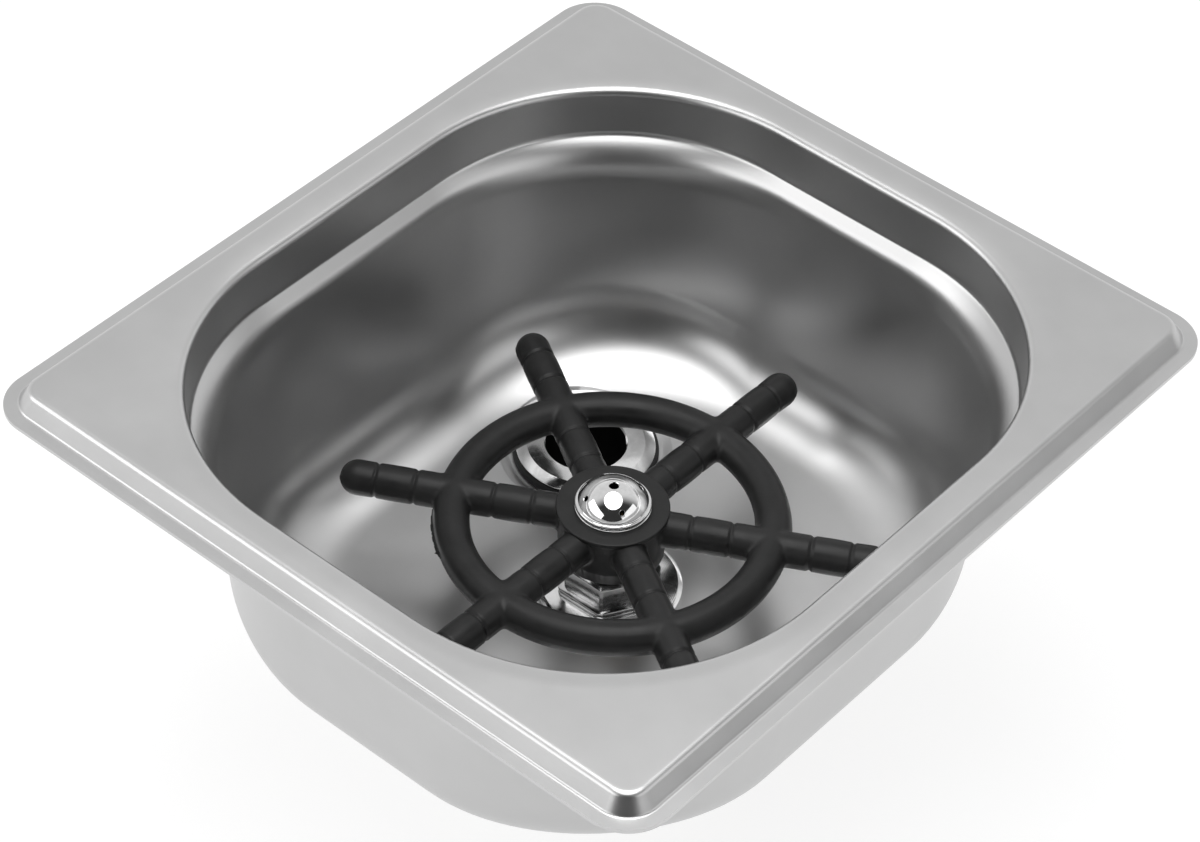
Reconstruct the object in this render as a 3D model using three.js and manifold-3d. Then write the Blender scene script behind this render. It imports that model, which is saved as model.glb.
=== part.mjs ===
// Drop-in glass rinser: a shallow stainless basin with a push-down spray valve and a drain.
// A glass pressed upside down on the wheel pushes the hollow plunger down, the poppet leaves
// its seat, and water rises through the plunger and sprays out of the dome.
// Millimetres, +Z up. The origin is the centre of the basin, in the plane its rim lip rests on.
// X runs across the basin and Y along it.

import * as THREE from "three";
import { mergeVertices } from "three/addons/utils/BufferGeometryUtils.js";
import Module from "manifold-3d";

const wasm = await Module();
wasm.setup();

// Basin rim
const sheet = 0.8;
const basinLength = 176;
const basinWidth = 162;
const basinDepth = 65;
const rimCornerRadius = 9.5;
const rimHeight = 4.4;
const rimAcross = 12.2;
const rimAlong = 12.5;
const lipWidth = 2.8;
const lipStepRun = 2.4;
const shoulderRadius = 1.6;
const stepFootRadius = 0.8;

// Basin bowl
const bowlLength = basinLength - 2 * rimAlong;
const bowlWidth = basinWidth - 2 * rimAcross;
const bowlCornerRadius = 50;
const mouthRadius = 2;
const upperWallDraft = 0.3;
const ledgeDepth = 12;
const ledgeDrop = 2;
const ledgeWidth = 2.1;
const ledgeFootRadius = 0.8;
const ledgeEdgeRadius = 3;
const wallDraftAcross = 5.85;
const wallDraftAlong = 5;
const floorRadius = 15.5;
const dishClearance = 1.6;
const dishDepth = 0.5;
const dishEdgeRun = 0.9;
const floorFlatShare = 0.33;
const floorCornerShare = 0.25;
const padOverlapShare = 0.25;

// Depths below the rim at which the basin is parted into level bands
const rimBandDepth = 6;
const ledgeBandDepth = 18;
const wallBandDepth = 50;

// Places of the two fittings on the floor
const valveX = 1.1;
const valveY = 1.6;
const drainX = -28.7;
const drainY = 28.5;

// Spider wheel
const armCount = 6;
const wheelTurnDegrees = 29.2;
const armRadius = 3.7;
const armReach = 56.1;
const armDrop = 4.2;
const ringRadius = 32.3;
const ringTubeRadius = 3.7;
const groovePitch = 8.1;
const grooveWidth = 0.7;
const grooveDepth = 0.3;
const barrelRise = 0.12;
const hubFlangeOverhang = 0.45;
const hubFlangeThickness = 1;
const hubEdgeRadius = 0.35;
const hubGap = 2.3;
const hubWebThickness = 1.6;
const hubWellDepth = 5.4;
const hubWellClearance = 0.25;
const skirtWall = 0.9;
const skirtClearance = 0.3;
const skirtDraft = 0.2;

// Spray head
const domeRadius = 6.95;
const domeRise = 3.65;
const domeFoot = 0.45;
const domeWall = 1;
const headBeadCircle = 7.25;
const headBeadRadius = 0.55;
const headFlangeRadius = 7.95;
const headFlangeThickness = 0.3;
const headSkirtRadius = 6;
const headGasketThickness = 1;
const jetRadius = 0.98;
const sideJetRadius = 0.5;
const sideJetCircle = 6;
const sideJetCount = 4;
const sideJetTurnDegrees = 57.75;

// Plunger
const stroke = 5;
const stopClearance = 0.2;
const threadClearance = 0.15;
const slideClearance = 0.1;
const stemRadius = 4;
const stemThreadRadius = 4.2;
const stemHeadroom = 1.3;
const stemShoulderRadius = 6.5;
const stemShoulderHeight = 1.8;
const stemBoreRadius = 2;
const stemNeckRadius = 2.9;
const portRadius = 1.2;
const oringSection = 0.9;
const oringGrooveSlack = 0.2;
const oringFirstDepth = 3.6;
const oringPitch = 5;

// Poppet and return spring
const tailRadius = 1.5;
const tailOverrun = 0.8;
const poppetSealRadius = 5.6;
const poppetSealThickness = 1.5;
const poppetPlateRadius = 5.2;
const poppetPlateThickness = 2;
const poppetBossRadius = 2.9;
const poppetBossHeight = 2;
const poppetNutFlats = 5.5;
const poppetNutHeight = 2.4;
const poppetNutBevel = 0.1;
const springLength = 12.5;
const springWireRadius = 0.4;
const springMeanRadius = 4.1;
const springEndPitch = 1.25;
const springTurns = 7;
const springSeatGap = 0.05;

// Valve bonnet, body and the disc under them
const bonnetFlats = 17;
const bonnetCornerTrim = 0.35;
const bonnetSideHeight = 5.2;
const bonnetBevelHeight = 1.2;
const bonnetBevelRun = 1.3;
const bonnetPlugRadius = 6.25;
const bonnetPlugLength = 9;
const bodyHeadFlats = 19.4;
const bodyHeadCornerTrim = 0.6;
const bodyHeadHeight = 1.2;
const bodyWall = 1.93;
const bodyBoreRadius = bonnetPlugRadius + threadClearance;
const bodyThreadRadius = bodyBoreRadius + bodyWall;
const bodyOringSection = 0.9;
const bodyOringGap = 0.05;
const upperChamberHeight = 6;
const seatThickness = 2;
const seatHoleRadius = 4.4;
const seatLipWidth = 0.6;
const seatLipHeight = 0.4;
const retainerThickness = 2;
const retainerHoleRadius = 2.6;
const retainerSlotWidth = 1.6;
const retainerSlotDepth = 0.8;
const inletMouthDepth = 3.6;
const holeClearance = 0.27;
const threadEndBevel = 0.8;
const discRadius = 14.9;
const discThickness = 1.6;
const discBevelRun = 0.9;
const discBevelDrop = 0.6;
const discGasketInner = 10.5;
const discGasketOuter = 12.5;
const discGasketThickness = 0.9;
const grooveClearance = 0.1;

// Clamping stack of the valve under the floor
const valveGasketRadius = 14;
const valveGasketThickness = 2;
const valveWasherRadius = 14.5;
const valveWasherThickness = 1;
const valveNutFlats = 24;
const valveNutHeight = 6;
const nutBevel = 0.8;

// Drain fitting and its clamping stack
const drainBoreRadius = 8.55;
const drainThreadRadius = 10.48;
const drainFlangeRadius = 14.75;
const drainFlangeFlatRadius = 12.55;
const drainFlangeThickness = 1.4;
const drainBevelDrop = 0.9;
const drainMouthBevel = 0.3;
const drainLength = 43.6;
const drainTopGasketRadius = 15.9;
const drainTopGasketThickness = 1.5;
const drainGasketRadius = 16.2;
const drainGasketThickness = 2;
const drainWasherRadius = 17;
const drainWasherThickness = 1;
const drainNutFlats = 30;
const drainNutHeight = 7;

// Cuts run past the faces they go through by this much
const overrun = 1;

// Corners of one body closer together than this are one corner
const mergeDistance = 1e-4;

// Numbers of facets
const fineSides = 36;
const mediumSides = 24;
const smallSides = 16;
const armSides = 10;
const jetSides = 8;
const oringSides = 6;
const wireSides = 5;
const wireStepsPerTurn = 8;
const cornerSteps = 6;
const floorSteps = 5;
const edgeSteps = 2;
const tipSteps = 4;
const domeSteps = 6;
const beadSteps = 4;
const cavitySteps = 3;

// Heights worked out from the sizes above
const floorUnder = rimHeight - basinDepth;
const floorTop = floorUnder + sheet;
const dishTop = floorTop - dishDepth;
const dishUnder = floorUnder - dishDepth;
const discTop = floorTop + discThickness;
const bodyHeadTop = discTop + bodyHeadHeight;
const bonnetTop = bodyHeadTop + bonnetSideHeight + bonnetBevelHeight;
const skirtBottom = bonnetTop + hubGap;
const stemShoulderUnder = bonnetTop + stroke + stopClearance;
const webUnder = stemShoulderUnder + stemShoulderHeight;
const webTop = webUnder + hubWebThickness;
const hubTop = webTop + hubWellDepth;
const plugUnder = bodyHeadTop - bonnetPlugLength;
const seatTop = plugUnder - upperChamberHeight;
const seatUnder = seatTop - seatThickness;
const sealTop = seatUnder - seatLipHeight;
const plateTop = sealTop - poppetSealThickness;
const plateUnder = plateTop - poppetPlateThickness;
const bossUnder = plateUnder - poppetBossHeight;
const poppetNutUnder = bossUnder - poppetNutHeight;
const retainerTop = plateUnder - springLength;
const retainerUnder = retainerTop - retainerThickness;
const bodyUnder = retainerUnder - inletMouthDepth;

// Radii that follow from what goes through or round a piece
const dishRadius = drainTopGasketRadius + dishClearance + dishEdgeRun;
const bonnetVertexRadius = bonnetFlats / 2 / Math.cos(Math.PI / 6);
const skirtBoreRadius = bonnetVertexRadius + skirtClearance;
const skirtRadius = skirtBoreRadius + skirtWall;
const hubFlangeRadius = skirtRadius + hubFlangeOverhang;
const bonnetBoreRadius = stemRadius + slideClearance;
const oringGrooveRadius = bonnetBoreRadius - oringSection - bodyOringGap;

const steel = { color: 0xb9bbbc, roughness: 0.32, metalness: 1 };
const chrome = { color: 0xd6d8da, roughness: 0.08, metalness: 1 };
const blackPlastic = { color: 0x232323, roughness: 0.55, metalness: 0 };
const blackRubber = { color: 0x171717, roughness: 0.85, metalness: 0 };
const brass = { color: 0xb89a54, roughness: 0.3, metalness: 1 };
const zincSteel = { color: 0x9c9ea0, roughness: 0.4, metalness: 1 };
const springSteel = { color: 0x8f9194, roughness: 0.3, metalness: 1 };

// A closed geometry as a solid that can be joined and cut.
function solidOf(geometry) {
  const bare = new THREE.BufferGeometry();
  bare.setAttribute("position", geometry.getAttribute("position"));
  if (geometry.index) bare.setIndex(geometry.index);
  const merged = mergeVertices(bare, mergeDistance);
  const mesh = new wasm.Mesh({
    numProp: 3,
    vertProperties: merged.getAttribute("position").array,
    triVerts: new Uint32Array(merged.index.array),
  });
  return new wasm.Manifold(mesh);
}

// The geometry of a solid.
function geometryOf(solid) {
  const mesh = solid.getMesh();
  const geometry = new THREE.BufferGeometry();
  geometry.setAttribute("position", new THREE.BufferAttribute(mesh.vertProperties, 3));
  geometry.setIndex(new THREE.BufferAttribute(mesh.triVerts, 1));
  geometry.computeVertexNormals();
  return geometry;
}

// Twice the area inside an outline of [radius, height] points, positive when it runs anticlockwise.
function turnOf(outline) {
  return outline.reduce((sum, [r, z], i) => {
    const [nextR, nextZ] = outline[(i + 1) % outline.length];
    return sum + r * nextZ - nextR * z;
  }, 0);
}

// A body of revolution about Z. The outline is a list of [radius, height] corners: it either
// starts and ends on the axis or goes once round a ring.
function revolve(outline, sides) {
  const ordered = turnOf(outline) > 0 ? [...outline] : [...outline].reverse();
  const onAxis = ordered.some(([r]) => r === 0);
  if (onAxis) {
    while (!(ordered[0][0] === 0 && ordered[ordered.length - 1][0] === 0)) {
      ordered.push(ordered.shift());
    }
  } else {
    ordered.push(ordered[0]);
  }
  const points = ordered.map(([r, z]) => new THREE.Vector2(r, z));
  return solidOf(new THREE.LatheGeometry(points, sides).rotateX(Math.PI / 2));
}

// A flat ring or, with an inner radius of zero, a disc.
function ring(inner, outer, low, high, sides) {
  const outline = [[inner, low], [outer, low], [outer, high], [inner, high]];
  return revolve(outline, sides);
}

// A ring of round section, such as an O-ring.
function roundRing(middle, section, height, sides) {
  const outline = Array.from({ length: oringSides }, (_, i) => {
    const angle = (i + 0.5) * Math.PI * 2 / oringSides;
    return [middle + section / 2 * Math.cos(angle), height + section / 2 * Math.sin(angle)];
  });
  return revolve(outline, sides);
}

// A closed skin over loops of equally many points, with a fan over the first and the last loop.
function loft(loops) {
  const count = loops[0].length;
  const middle = (loop) => loop.reduce((sum, p) => sum.addScaledVector(p, 1 / count), new THREE.Vector3());
  const points = [...loops.flat(), middle(loops[0]), middle(loops[loops.length - 1])];
  const faces = [];
  for (let row = 0; row + 1 < loops.length; row += 1) {
    for (let i = 0; i < count; i += 1) {
      const next = (i + 1) % count;
      const a = row * count + i;
      const b = row * count + next;
      faces.push(a, b, b + count, a, b + count, a + count);
    }
  }
  const first = loops.length * count;
  const last = first + 1;
  const lastRow = (loops.length - 1) * count;
  for (let i = 0; i < count; i += 1) {
    const next = (i + 1) % count;
    faces.push(first, next, i);
    faces.push(last, lastRow + i, lastRow + next);
  }
  const geometry = new THREE.BufferGeometry().setFromPoints(points);
  geometry.setIndex(faces);
  return solidOf(geometry);
}

// One loop of a rounded rectangle, anticlockwise, with its corners as arcs.
function roundedLoop(halfX, halfY, radius, z) {
  const loop = [];
  for (let corner = 0; corner < 4; corner += 1) {
    const signX = corner === 0 || corner === 3 ? 1 : -1;
    const signY = corner < 2 ? 1 : -1;
    for (let step = 0; step <= cornerSteps; step += 1) {
      const angle = (corner + step / cornerSteps) * Math.PI / 2;
      const x = signX * (halfX - radius) + radius * Math.cos(angle);
      const y = signY * (halfY - radius) + radius * Math.sin(angle);
      loop.push(new THREE.Vector3(x, y, z));
    }
  }
  return loop;
}

// One loop of a hexagon with trimmed corners. Its flats face +Y, -Y and 30 degrees either side of X.
function hexLoop(flats, trim, z) {
  const vertexRadius = flats / 2 / Math.cos(Math.PI / 6);
  const along = trim / Math.sin(Math.PI / 3);
  const loop = [];
  for (let side = 0; side < 6; side += 1) {
    const vertex = new THREE.Vector3(vertexRadius, 0, z);
    vertex.applyAxisAngle(new THREE.Vector3(0, 0, 1), side * Math.PI / 3);
    for (const turn of [-1, 1]) {
      const edge = side * Math.PI / 3 + turn * Math.PI * 2 / 3;
      loop.push(new THREE.Vector3(Math.cos(edge), Math.sin(edge), 0).multiplyScalar(along).add(vertex));
    }
  }
  return loop;
}

// A hexagon nut with bevelled ends and a round hole.
function hexNut(flats, hole, low, high, bevel, sides) {
  const trim = bevel / 2;
  const loops = [
    hexLoop(flats - bevel, trim, low),
    hexLoop(flats, trim, low + bevel / 2),
    hexLoop(flats, trim, high - bevel / 2),
    hexLoop(flats - bevel, trim, high),
  ];
  return loft(loops).subtract(ring(0, hole, low - overrun, high + overrun, sides));
}

// A path of [across, height] corners with some of its corners rounded. Each corner may hold a
// radius and the number of steps of its arc.
function roundedPath(corners) {
  const path = [];
  corners.forEach(({ at, radius, steps }, i) => {
    if (!radius) {
      path.push(new THREE.Vector2(...at));
      return;
    }
    const corner = new THREE.Vector2(...at);
    const back = new THREE.Vector2(...corners[i - 1].at).sub(corner).normalize();
    const ahead = new THREE.Vector2(...corners[i + 1].at).sub(corner).normalize();
    const half = Math.acos(back.dot(ahead)) / 2;
    const reach = radius / Math.tan(half);
    const toCentre = back.clone().add(ahead).normalize();
    const centre = corner.clone().addScaledVector(toCentre, radius / Math.sin(half));
    const from = corner.clone().addScaledVector(back, reach).sub(centre);
    const to = corner.clone().addScaledVector(ahead, reach).sub(centre);
    const sweep = Math.atan2(from.cross(to), from.dot(to));
    for (let step = 0; step <= steps; step += 1) {
      const turned = from.clone().rotateAround(new THREE.Vector2(), sweep * step / steps);
      path.push(turned.add(centre));
    }
  });
  return path;
}

// The same path moved sideways, to its right, by a distance.
function besidePath(path, distance) {
  return path.map((point, i) => {
    const before = path[Math.max(i - 1, 0)];
    const after = path[Math.min(i + 1, path.length - 1)];
    const into = point.clone().sub(before).normalize();
    const out = after.clone().sub(point).normalize();
    if (i === 0) into.copy(out);
    if (i === path.length - 1) out.copy(into);
    const along = into.clone().add(out).normalize();
    const stretch = 1 / along.dot(into);
    return new THREE.Vector2(along.y, -along.x).multiplyScalar(distance * stretch).add(point);
  });
}

// The pressed basin: one sheet that runs from the floor up the wall, over the stacking ledge and
// the flat rim, and down its step to the lip.
function makeBasin() {
  const ledgeTop = rimHeight - ledgeDepth;
  const ledgeUnder = ledgeTop - ledgeDrop;
  const mouth = bowlWidth / 2;
  const ledgeOuter = mouth - upperWallDraft;
  const ledgeInner = ledgeOuter - ledgeWidth;
  const lipInner = basinWidth / 2 - lipWidth;
  const shoulder = lipInner - lipStepRun;
  const floorFlat = (ledgeInner - wallDraftAcross) * floorFlatShare;
  const corners = [
    { at: [floorFlat, floorTop] },
    { at: [ledgeInner - wallDraftAcross, floorTop], radius: floorRadius, steps: floorSteps },
    { at: [ledgeInner, ledgeUnder], radius: ledgeEdgeRadius, steps: edgeSteps },
    { at: [ledgeOuter, ledgeTop], radius: ledgeFootRadius, steps: edgeSteps },
    { at: [mouth, rimHeight], radius: mouthRadius, steps: edgeSteps },
    { at: [shoulder, rimHeight], radius: shoulderRadius, steps: edgeSteps },
    { at: [lipInner, sheet], radius: stepFootRadius, steps: edgeSteps },
    { at: [basinWidth / 2, sheet] },
  ];
  const top = roundedPath(corners);
  const under = besidePath(top, sheet).reverse();
  const rimStart = (mouth + shoulder) / 2;
  const alongExtra = wallDraftAcross - wallDraftAlong;
  const loopAt = ({ x, y }) => {
    if (x > rimStart) {
      const inset = basinWidth / 2 - x;
      return roundedLoop(x, basinLength / 2 - inset, rimCornerRadius - inset, y);
    }
    const inset = mouth - x;
    const depthShare = THREE.MathUtils.clamp((ledgeUnder - y) / (ledgeUnder - floorTop), 0, 1);
    const halfY = bowlLength / 2 - inset + alongExtra * depthShare;
    return roundedLoop(x, halfY, Math.max(bowlCornerRadius - inset, x * floorCornerShare), y);
  };
  const skin = loft([...top, ...under].reverse().map(loopAt));
  const drainWell = [
    [0, dishTop],
    [dishRadius - dishEdgeRun, dishTop],
    [dishRadius, floorTop],
    [dishRadius, floorTop + overrun],
    [0, floorTop + overrun],
  ];
  const drainPad = [
    [0, dishUnder],
    [dishRadius - dishEdgeRun, dishUnder],
    [dishRadius, floorUnder],
    [dishRadius, floorUnder + sheet * padOverlapShare],
    [0, floorUnder + sheet * padOverlapShare],
  ];
  const cutUnder = dishUnder - overrun;
  const cutTop = floorTop + overrun;
  const drainCut = ring(0, drainThreadRadius + holeClearance, cutUnder, cutTop, mediumSides);
  const valveCut = ring(0, bodyThreadRadius + holeClearance, cutUnder, cutTop, mediumSides);
  return skin
    .add(revolve(drainPad, fineSides).translate(drainX, drainY, 0))
    .subtract(revolve(drainWell, fineSides).translate(drainX, drainY, 0))
    .subtract(drainCut.translate(drainX, drainY, 0))
    .subtract(valveCut.translate(valveX, valveY, 0));
}

// The part of the basin's solid between two heights.
function bandOf(solid, low, high) {
  const slab = new THREE.BoxGeometry(basinWidth + overrun, basinLength + overrun, high - low);
  return solid.intersect(solidOf(slab).translate(0, 0, (low + high) / 2));
}

// One arm of the wheel along +X: barrel-shaped stretches between shallow grooves, and a round tip.
function makeArm() {
  const start = skirtBoreRadius + skirtClearance;
  const tipCentre = armReach - armRadius;
  const outline = [[0, start], [armRadius, start]];
  for (const place of [-2, -1, 1, 2]) {
    const groove = ringRadius + place * groovePitch;
    outline.push([armRadius - barrelRise, groove - grooveWidth / 2]);
    outline.push([armRadius - barrelRise - grooveDepth, groove]);
    outline.push([armRadius - barrelRise, groove + grooveWidth / 2]);
  }
  for (let step = 0; step <= tipSteps; step += 1) {
    const angle = step / tipSteps * Math.PI / 2;
    const radius = step === tipSteps ? 0 : armRadius * Math.cos(angle);
    outline.push([radius, tipCentre + armRadius * Math.sin(angle)]);
  }
  return revolve(outline, armSides).rotate(0, 90, 0);
}

// The black wheel: a cup-shaped hub that slides down over the bonnet, six arms and a ring.
function makeWheel() {
  const armPlane = hubTop - armDrop;
  const wellRadius = headSkirtRadius + hubWellClearance;
  const hub = revolve([
    [stemThreadRadius + threadClearance, webUnder],
    [skirtBoreRadius, webUnder],
    [skirtBoreRadius, skirtBottom],
    [skirtRadius - skirtDraft, skirtBottom],
    [skirtRadius, hubTop - hubFlangeThickness],
    [hubFlangeRadius, hubTop - hubFlangeThickness + hubEdgeRadius],
    [hubFlangeRadius, hubTop - hubEdgeRadius],
    [hubFlangeRadius - hubEdgeRadius, hubTop],
    [wellRadius, hubTop],
    [wellRadius, webTop],
    [stemThreadRadius + threadClearance, webTop],
  ], mediumSides);
  const rim = solidOf(new THREE.TorusGeometry(ringRadius, ringTubeRadius, armSides, fineSides));
  let wheel = rim.translate(0, 0, armPlane);
  const arm = makeArm();
  for (let i = 0; i < armCount; i += 1) {
    const turn = wheelTurnDegrees + i * 360 / armCount;
    wheel = wheel.add(arm.rotate(0, 0, turn).translate(0, 0, armPlane));
  }
  const well = ring(0, wellRadius, webTop, hubTop + overrun, mediumSides);
  return wheel.subtract(well).add(hub);
}

// The chrome spray head: a hollow dome, flatter on top, over a bead and a thin flange, with one
// large and several small jets, on a threaded skirt.
function makeSprayHead() {
  const flangeTop = hubTop + headFlangeThickness;
  const beadMiddle = flangeTop + headBeadRadius;
  const domeBase = beadMiddle + headBeadRadius + domeFoot;
  const beadEnd = Math.acos((domeRadius - headBeadCircle) / headBeadRadius);
  const bead = Array.from({ length: beadSteps + 1 }, (_, i) => {
    const angle = THREE.MathUtils.lerp(-Math.PI / 2, beadEnd, i / beadSteps);
    const radius = headBeadCircle + headBeadRadius * Math.cos(angle);
    return [radius, beadMiddle + headBeadRadius * Math.sin(angle)];
  });
  const cap = (radius, rise, steps) => Array.from({ length: steps + 1 }, (_, i) => {
    const angle = i / steps * Math.PI / 2;
    return [i === steps ? 0 : radius * Math.cos(angle), domeBase + rise * Math.sin(angle)];
  });
  const shell = revolve([
    [0, webTop + headGasketThickness],
    [headSkirtRadius, webTop + headGasketThickness],
    [headSkirtRadius, hubTop],
    [headFlangeRadius, hubTop],
    [headFlangeRadius, flangeTop],
    ...bead,
    ...cap(domeRadius, domeRise, domeSteps),
  ], mediumSides);
  const threadBore = stemThreadRadius + threadClearance;
  const cavity = revolve([
    [0, webTop],
    [threadBore, webTop],
    [threadBore, hubTop],
    ...cap(domeRadius - domeWall, domeRise - domeWall, cavitySteps),
  ], smallSides);
  let head = shell.subtract(cavity);
  head = head.subtract(ring(0, jetRadius, domeBase, domeBase + domeRise + overrun, jetSides));
  const jetAngle = Math.acos(sideJetCircle / domeRadius);
  const jetHeight = domeBase + domeRise * Math.sin(jetAngle);
  const lean = Math.atan(domeRise / (domeRadius * Math.tan(jetAngle))) * 180 / Math.PI;
  const jet = ring(0, sideJetRadius, -domeWall - overrun, overrun, jetSides);
  for (let i = 0; i < sideJetCount; i += 1) {
    const turn = sideJetTurnDegrees + i * 360 / sideJetCount;
    const leaning = jet.rotate(0, lean, 0).translate(sideJetCircle, 0, jetHeight);
    head = head.subtract(leaning.rotate(0, 0, turn));
  }
  return head;
}

// The height of one of the two stem O-rings at rest.
function oringHeight(number) {
  return bonnetTop - oringFirstDepth - number * oringPitch;
}

// The hollow plunger stem: thread, shoulder, two O-ring grooves, neck with four ports, solid tail.
function makeStem() {
  const stemTop = hubTop - stemHeadroom;
  const halfGroove = (oringSection + oringGrooveSlack) / 2;
  const outline = [
    [0, stemTop],
    [stemThreadRadius, stemTop],
    [stemThreadRadius, webUnder],
    [stemShoulderRadius, webUnder],
    [stemShoulderRadius, stemShoulderUnder],
    [stemRadius, stemShoulderUnder],
  ];
  for (const number of [0, 1]) {
    const height = oringHeight(number);
    outline.push([stemRadius, height + halfGroove], [oringGrooveRadius, height + halfGroove]);
    outline.push([oringGrooveRadius, height - halfGroove], [stemRadius, height - halfGroove]);
  }
  outline.push([stemRadius, plugUnder], [stemNeckRadius, plugUnder], [stemNeckRadius, sealTop]);
  outline.push([tailRadius, sealTop], [tailRadius, poppetNutUnder - tailOverrun]);
  outline.push([0, poppetNutUnder - tailOverrun]);
  const portHeight = (plugUnder + seatTop) / 2;
  const bore = ring(0, stemBoreRadius, portHeight - portRadius, stemTop + overrun, smallSides);
  const port = ring(0, portRadius, -stemRadius - overrun, stemRadius + overrun, jetSides);
  return revolve(outline, smallSides)
    .subtract(bore)
    .subtract(port.rotate(90, 0, 0).translate(0, 0, portHeight))
    .subtract(port.rotate(0, 90, 0).translate(0, 0, portHeight));
}

// The bonnet: a hexagon with a bevelled top, on a threaded plug, bored to guide the plunger.
function makeBonnet() {
  const sideTop = bodyHeadTop + bonnetSideHeight;
  const hexagon = loft([
    hexLoop(bonnetFlats, bonnetCornerTrim, bodyHeadTop),
    hexLoop(bonnetFlats, bonnetCornerTrim, sideTop),
    hexLoop(bonnetFlats - 2 * bonnetBevelRun, bonnetCornerTrim, bonnetTop),
  ]);
  return hexagon
    .add(ring(0, bonnetPlugRadius, plugUnder, bodyHeadTop, smallSides))
    .subtract(ring(0, bonnetBoreRadius, plugUnder - overrun, bonnetTop + overrun, smallSides));
}

// The valve body: a low hexagon head on a threaded shank, with a valve seat across its bore.
function makeValveBody() {
  const head = loft([
    hexLoop(bodyHeadFlats, bodyHeadCornerTrim, discTop),
    hexLoop(bodyHeadFlats, bodyHeadCornerTrim, bodyHeadTop),
  ]);
  const shank = revolve([
    [0, discTop],
    [bodyThreadRadius, discTop],
    [bodyThreadRadius, bodyUnder + threadEndBevel],
    [bodyThreadRadius - threadEndBevel, bodyUnder],
    [0, bodyUnder],
  ], mediumSides);
  const oringWell = bonnetPlugRadius + bodyOringSection + 2 * bodyOringGap;
  const upperBore = [
    [0, seatTop],
    [bodyBoreRadius, seatTop],
    [bodyBoreRadius, bodyHeadTop - bodyOringSection - bodyOringGap],
    [oringWell, bodyHeadTop - bodyOringSection - bodyOringGap],
    [oringWell, bodyHeadTop + overrun],
    [0, bodyHeadTop + overrun],
  ];
  const lowerBore = [
    [seatHoleRadius, sealTop],
    [seatHoleRadius + seatLipWidth, sealTop],
    [seatHoleRadius + seatLipWidth, seatUnder],
    [bodyBoreRadius, seatUnder],
    [bodyBoreRadius, bodyUnder - overrun],
    [0, bodyUnder - overrun],
    [0, sealTop],
  ];
  return head
    .add(shank)
    .subtract(revolve(upperBore, smallSides))
    .subtract(revolve(lowerBore, smallSides))
    .subtract(ring(0, seatHoleRadius, sealTop - overrun, seatTop + overrun, smallSides));
}

// The polished disc under the body's head, with a recess for its gasket.
function makeDisc() {
  const recess = ring(
    discGasketInner - grooveClearance,
    discGasketOuter + grooveClearance,
    floorTop - overrun,
    floorTop + discGasketThickness,
    mediumSides,
  );
  return revolve([
    [bodyThreadRadius + holeClearance, floorTop],
    [discRadius, floorTop],
    [discRadius, discTop - discBevelDrop],
    [discRadius - discBevelRun, discTop],
    [bodyThreadRadius + holeClearance, discTop],
  ], mediumSides).subtract(recess);
}

// The brass poppet plate, with the boss that centres the spring.
function makePoppetPlate() {
  const hole = tailRadius + slideClearance;
  return revolve([
    [hole, plateTop],
    [poppetPlateRadius, plateTop],
    [poppetPlateRadius, plateUnder],
    [poppetBossRadius, plateUnder],
    [poppetBossRadius, bossUnder],
    [hole, bossUnder],
  ], smallSides);
}

// The wire of the return spring: close turns at both ends and even turns between them.
class SpringWire extends THREE.Curve {
  getPoint(t) {
    const low = retainerTop + springSeatGap + springWireRadius;
    const high = plateUnder - springSeatGap - springWireRadius;
    const turn = t * springTurns;
    const open = (high - low - 2 * springEndPitch) / (springTurns - 2);
    const opened = THREE.MathUtils.clamp(turn - 1, 0, springTurns - 2) * open;
    const closed = (Math.min(turn, 1) + Math.max(turn - springTurns + 1, 0)) * springEndPitch;
    const angle = turn * Math.PI * 2;
    const x = springMeanRadius * Math.cos(angle);
    const y = springMeanRadius * Math.sin(angle);
    return new THREE.Vector3(x, y, low + opened + closed);
  }
}

function makeSpring() {
  const section = new THREE.Shape();
  for (let i = 0; i < wireSides; i += 1) {
    const angle = i * Math.PI * 2 / wireSides;
    const x = springWireRadius * Math.cos(angle);
    const y = springWireRadius * Math.sin(angle);
    if (i === 0) section.moveTo(x, y);
    else section.lineTo(x, y);
  }
  const extrudePath = new SpringWire();
  const steps = springTurns * wireStepsPerTurn;
  return solidOf(new THREE.ExtrudeGeometry(section, { steps, extrudePath, bevelEnabled: false }));
}

// The ring screwed into the inlet to carry the spring, slotted across for a driver.
function makeRetainer() {
  const outer = bodyBoreRadius - threadClearance;
  const disc = ring(retainerHoleRadius, outer, retainerUnder, retainerTop, smallSides);
  const slot = new THREE.BoxGeometry(2 * outer + overrun, retainerSlotWidth, retainerSlotDepth * 2);
  return disc.subtract(solidOf(slot).translate(0, 0, retainerUnder));
}

// The drain: a bevelled flange on a threaded tail, bored right through.
function makeDrainBody() {
  const flangeUnder = dishTop + drainTopGasketThickness;
  const flangeTop = flangeUnder + drainFlangeThickness;
  const end = flangeTop - drainLength;
  return revolve([
    [drainBoreRadius, flangeTop - drainMouthBevel],
    [drainBoreRadius + drainMouthBevel, flangeTop],
    [drainFlangeFlatRadius, flangeTop],
    [drainFlangeRadius, flangeTop - drainBevelDrop],
    [drainFlangeRadius, flangeUnder],
    [drainThreadRadius, flangeUnder],
    [drainThreadRadius, end + threadEndBevel],
    [drainThreadRadius - threadEndBevel, end],
    [drainBoreRadius, end],
  ], mediumSides);
}

const root = new THREE.Group();
const valve = new THREE.Group();
const drain = new THREE.Group();
valve.position.set(valveX, valveY, 0);
drain.position.set(drainX, drainY, 0);
root.add(valve, drain);

// Adds a solid to a group as a named mesh with its own material.
function place(group, name, solid, finish) {
  const mesh = new THREE.Mesh(geometryOf(solid), new THREE.MeshStandardMaterial(finish));
  mesh.name = name;
  group.add(mesh);
}

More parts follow.
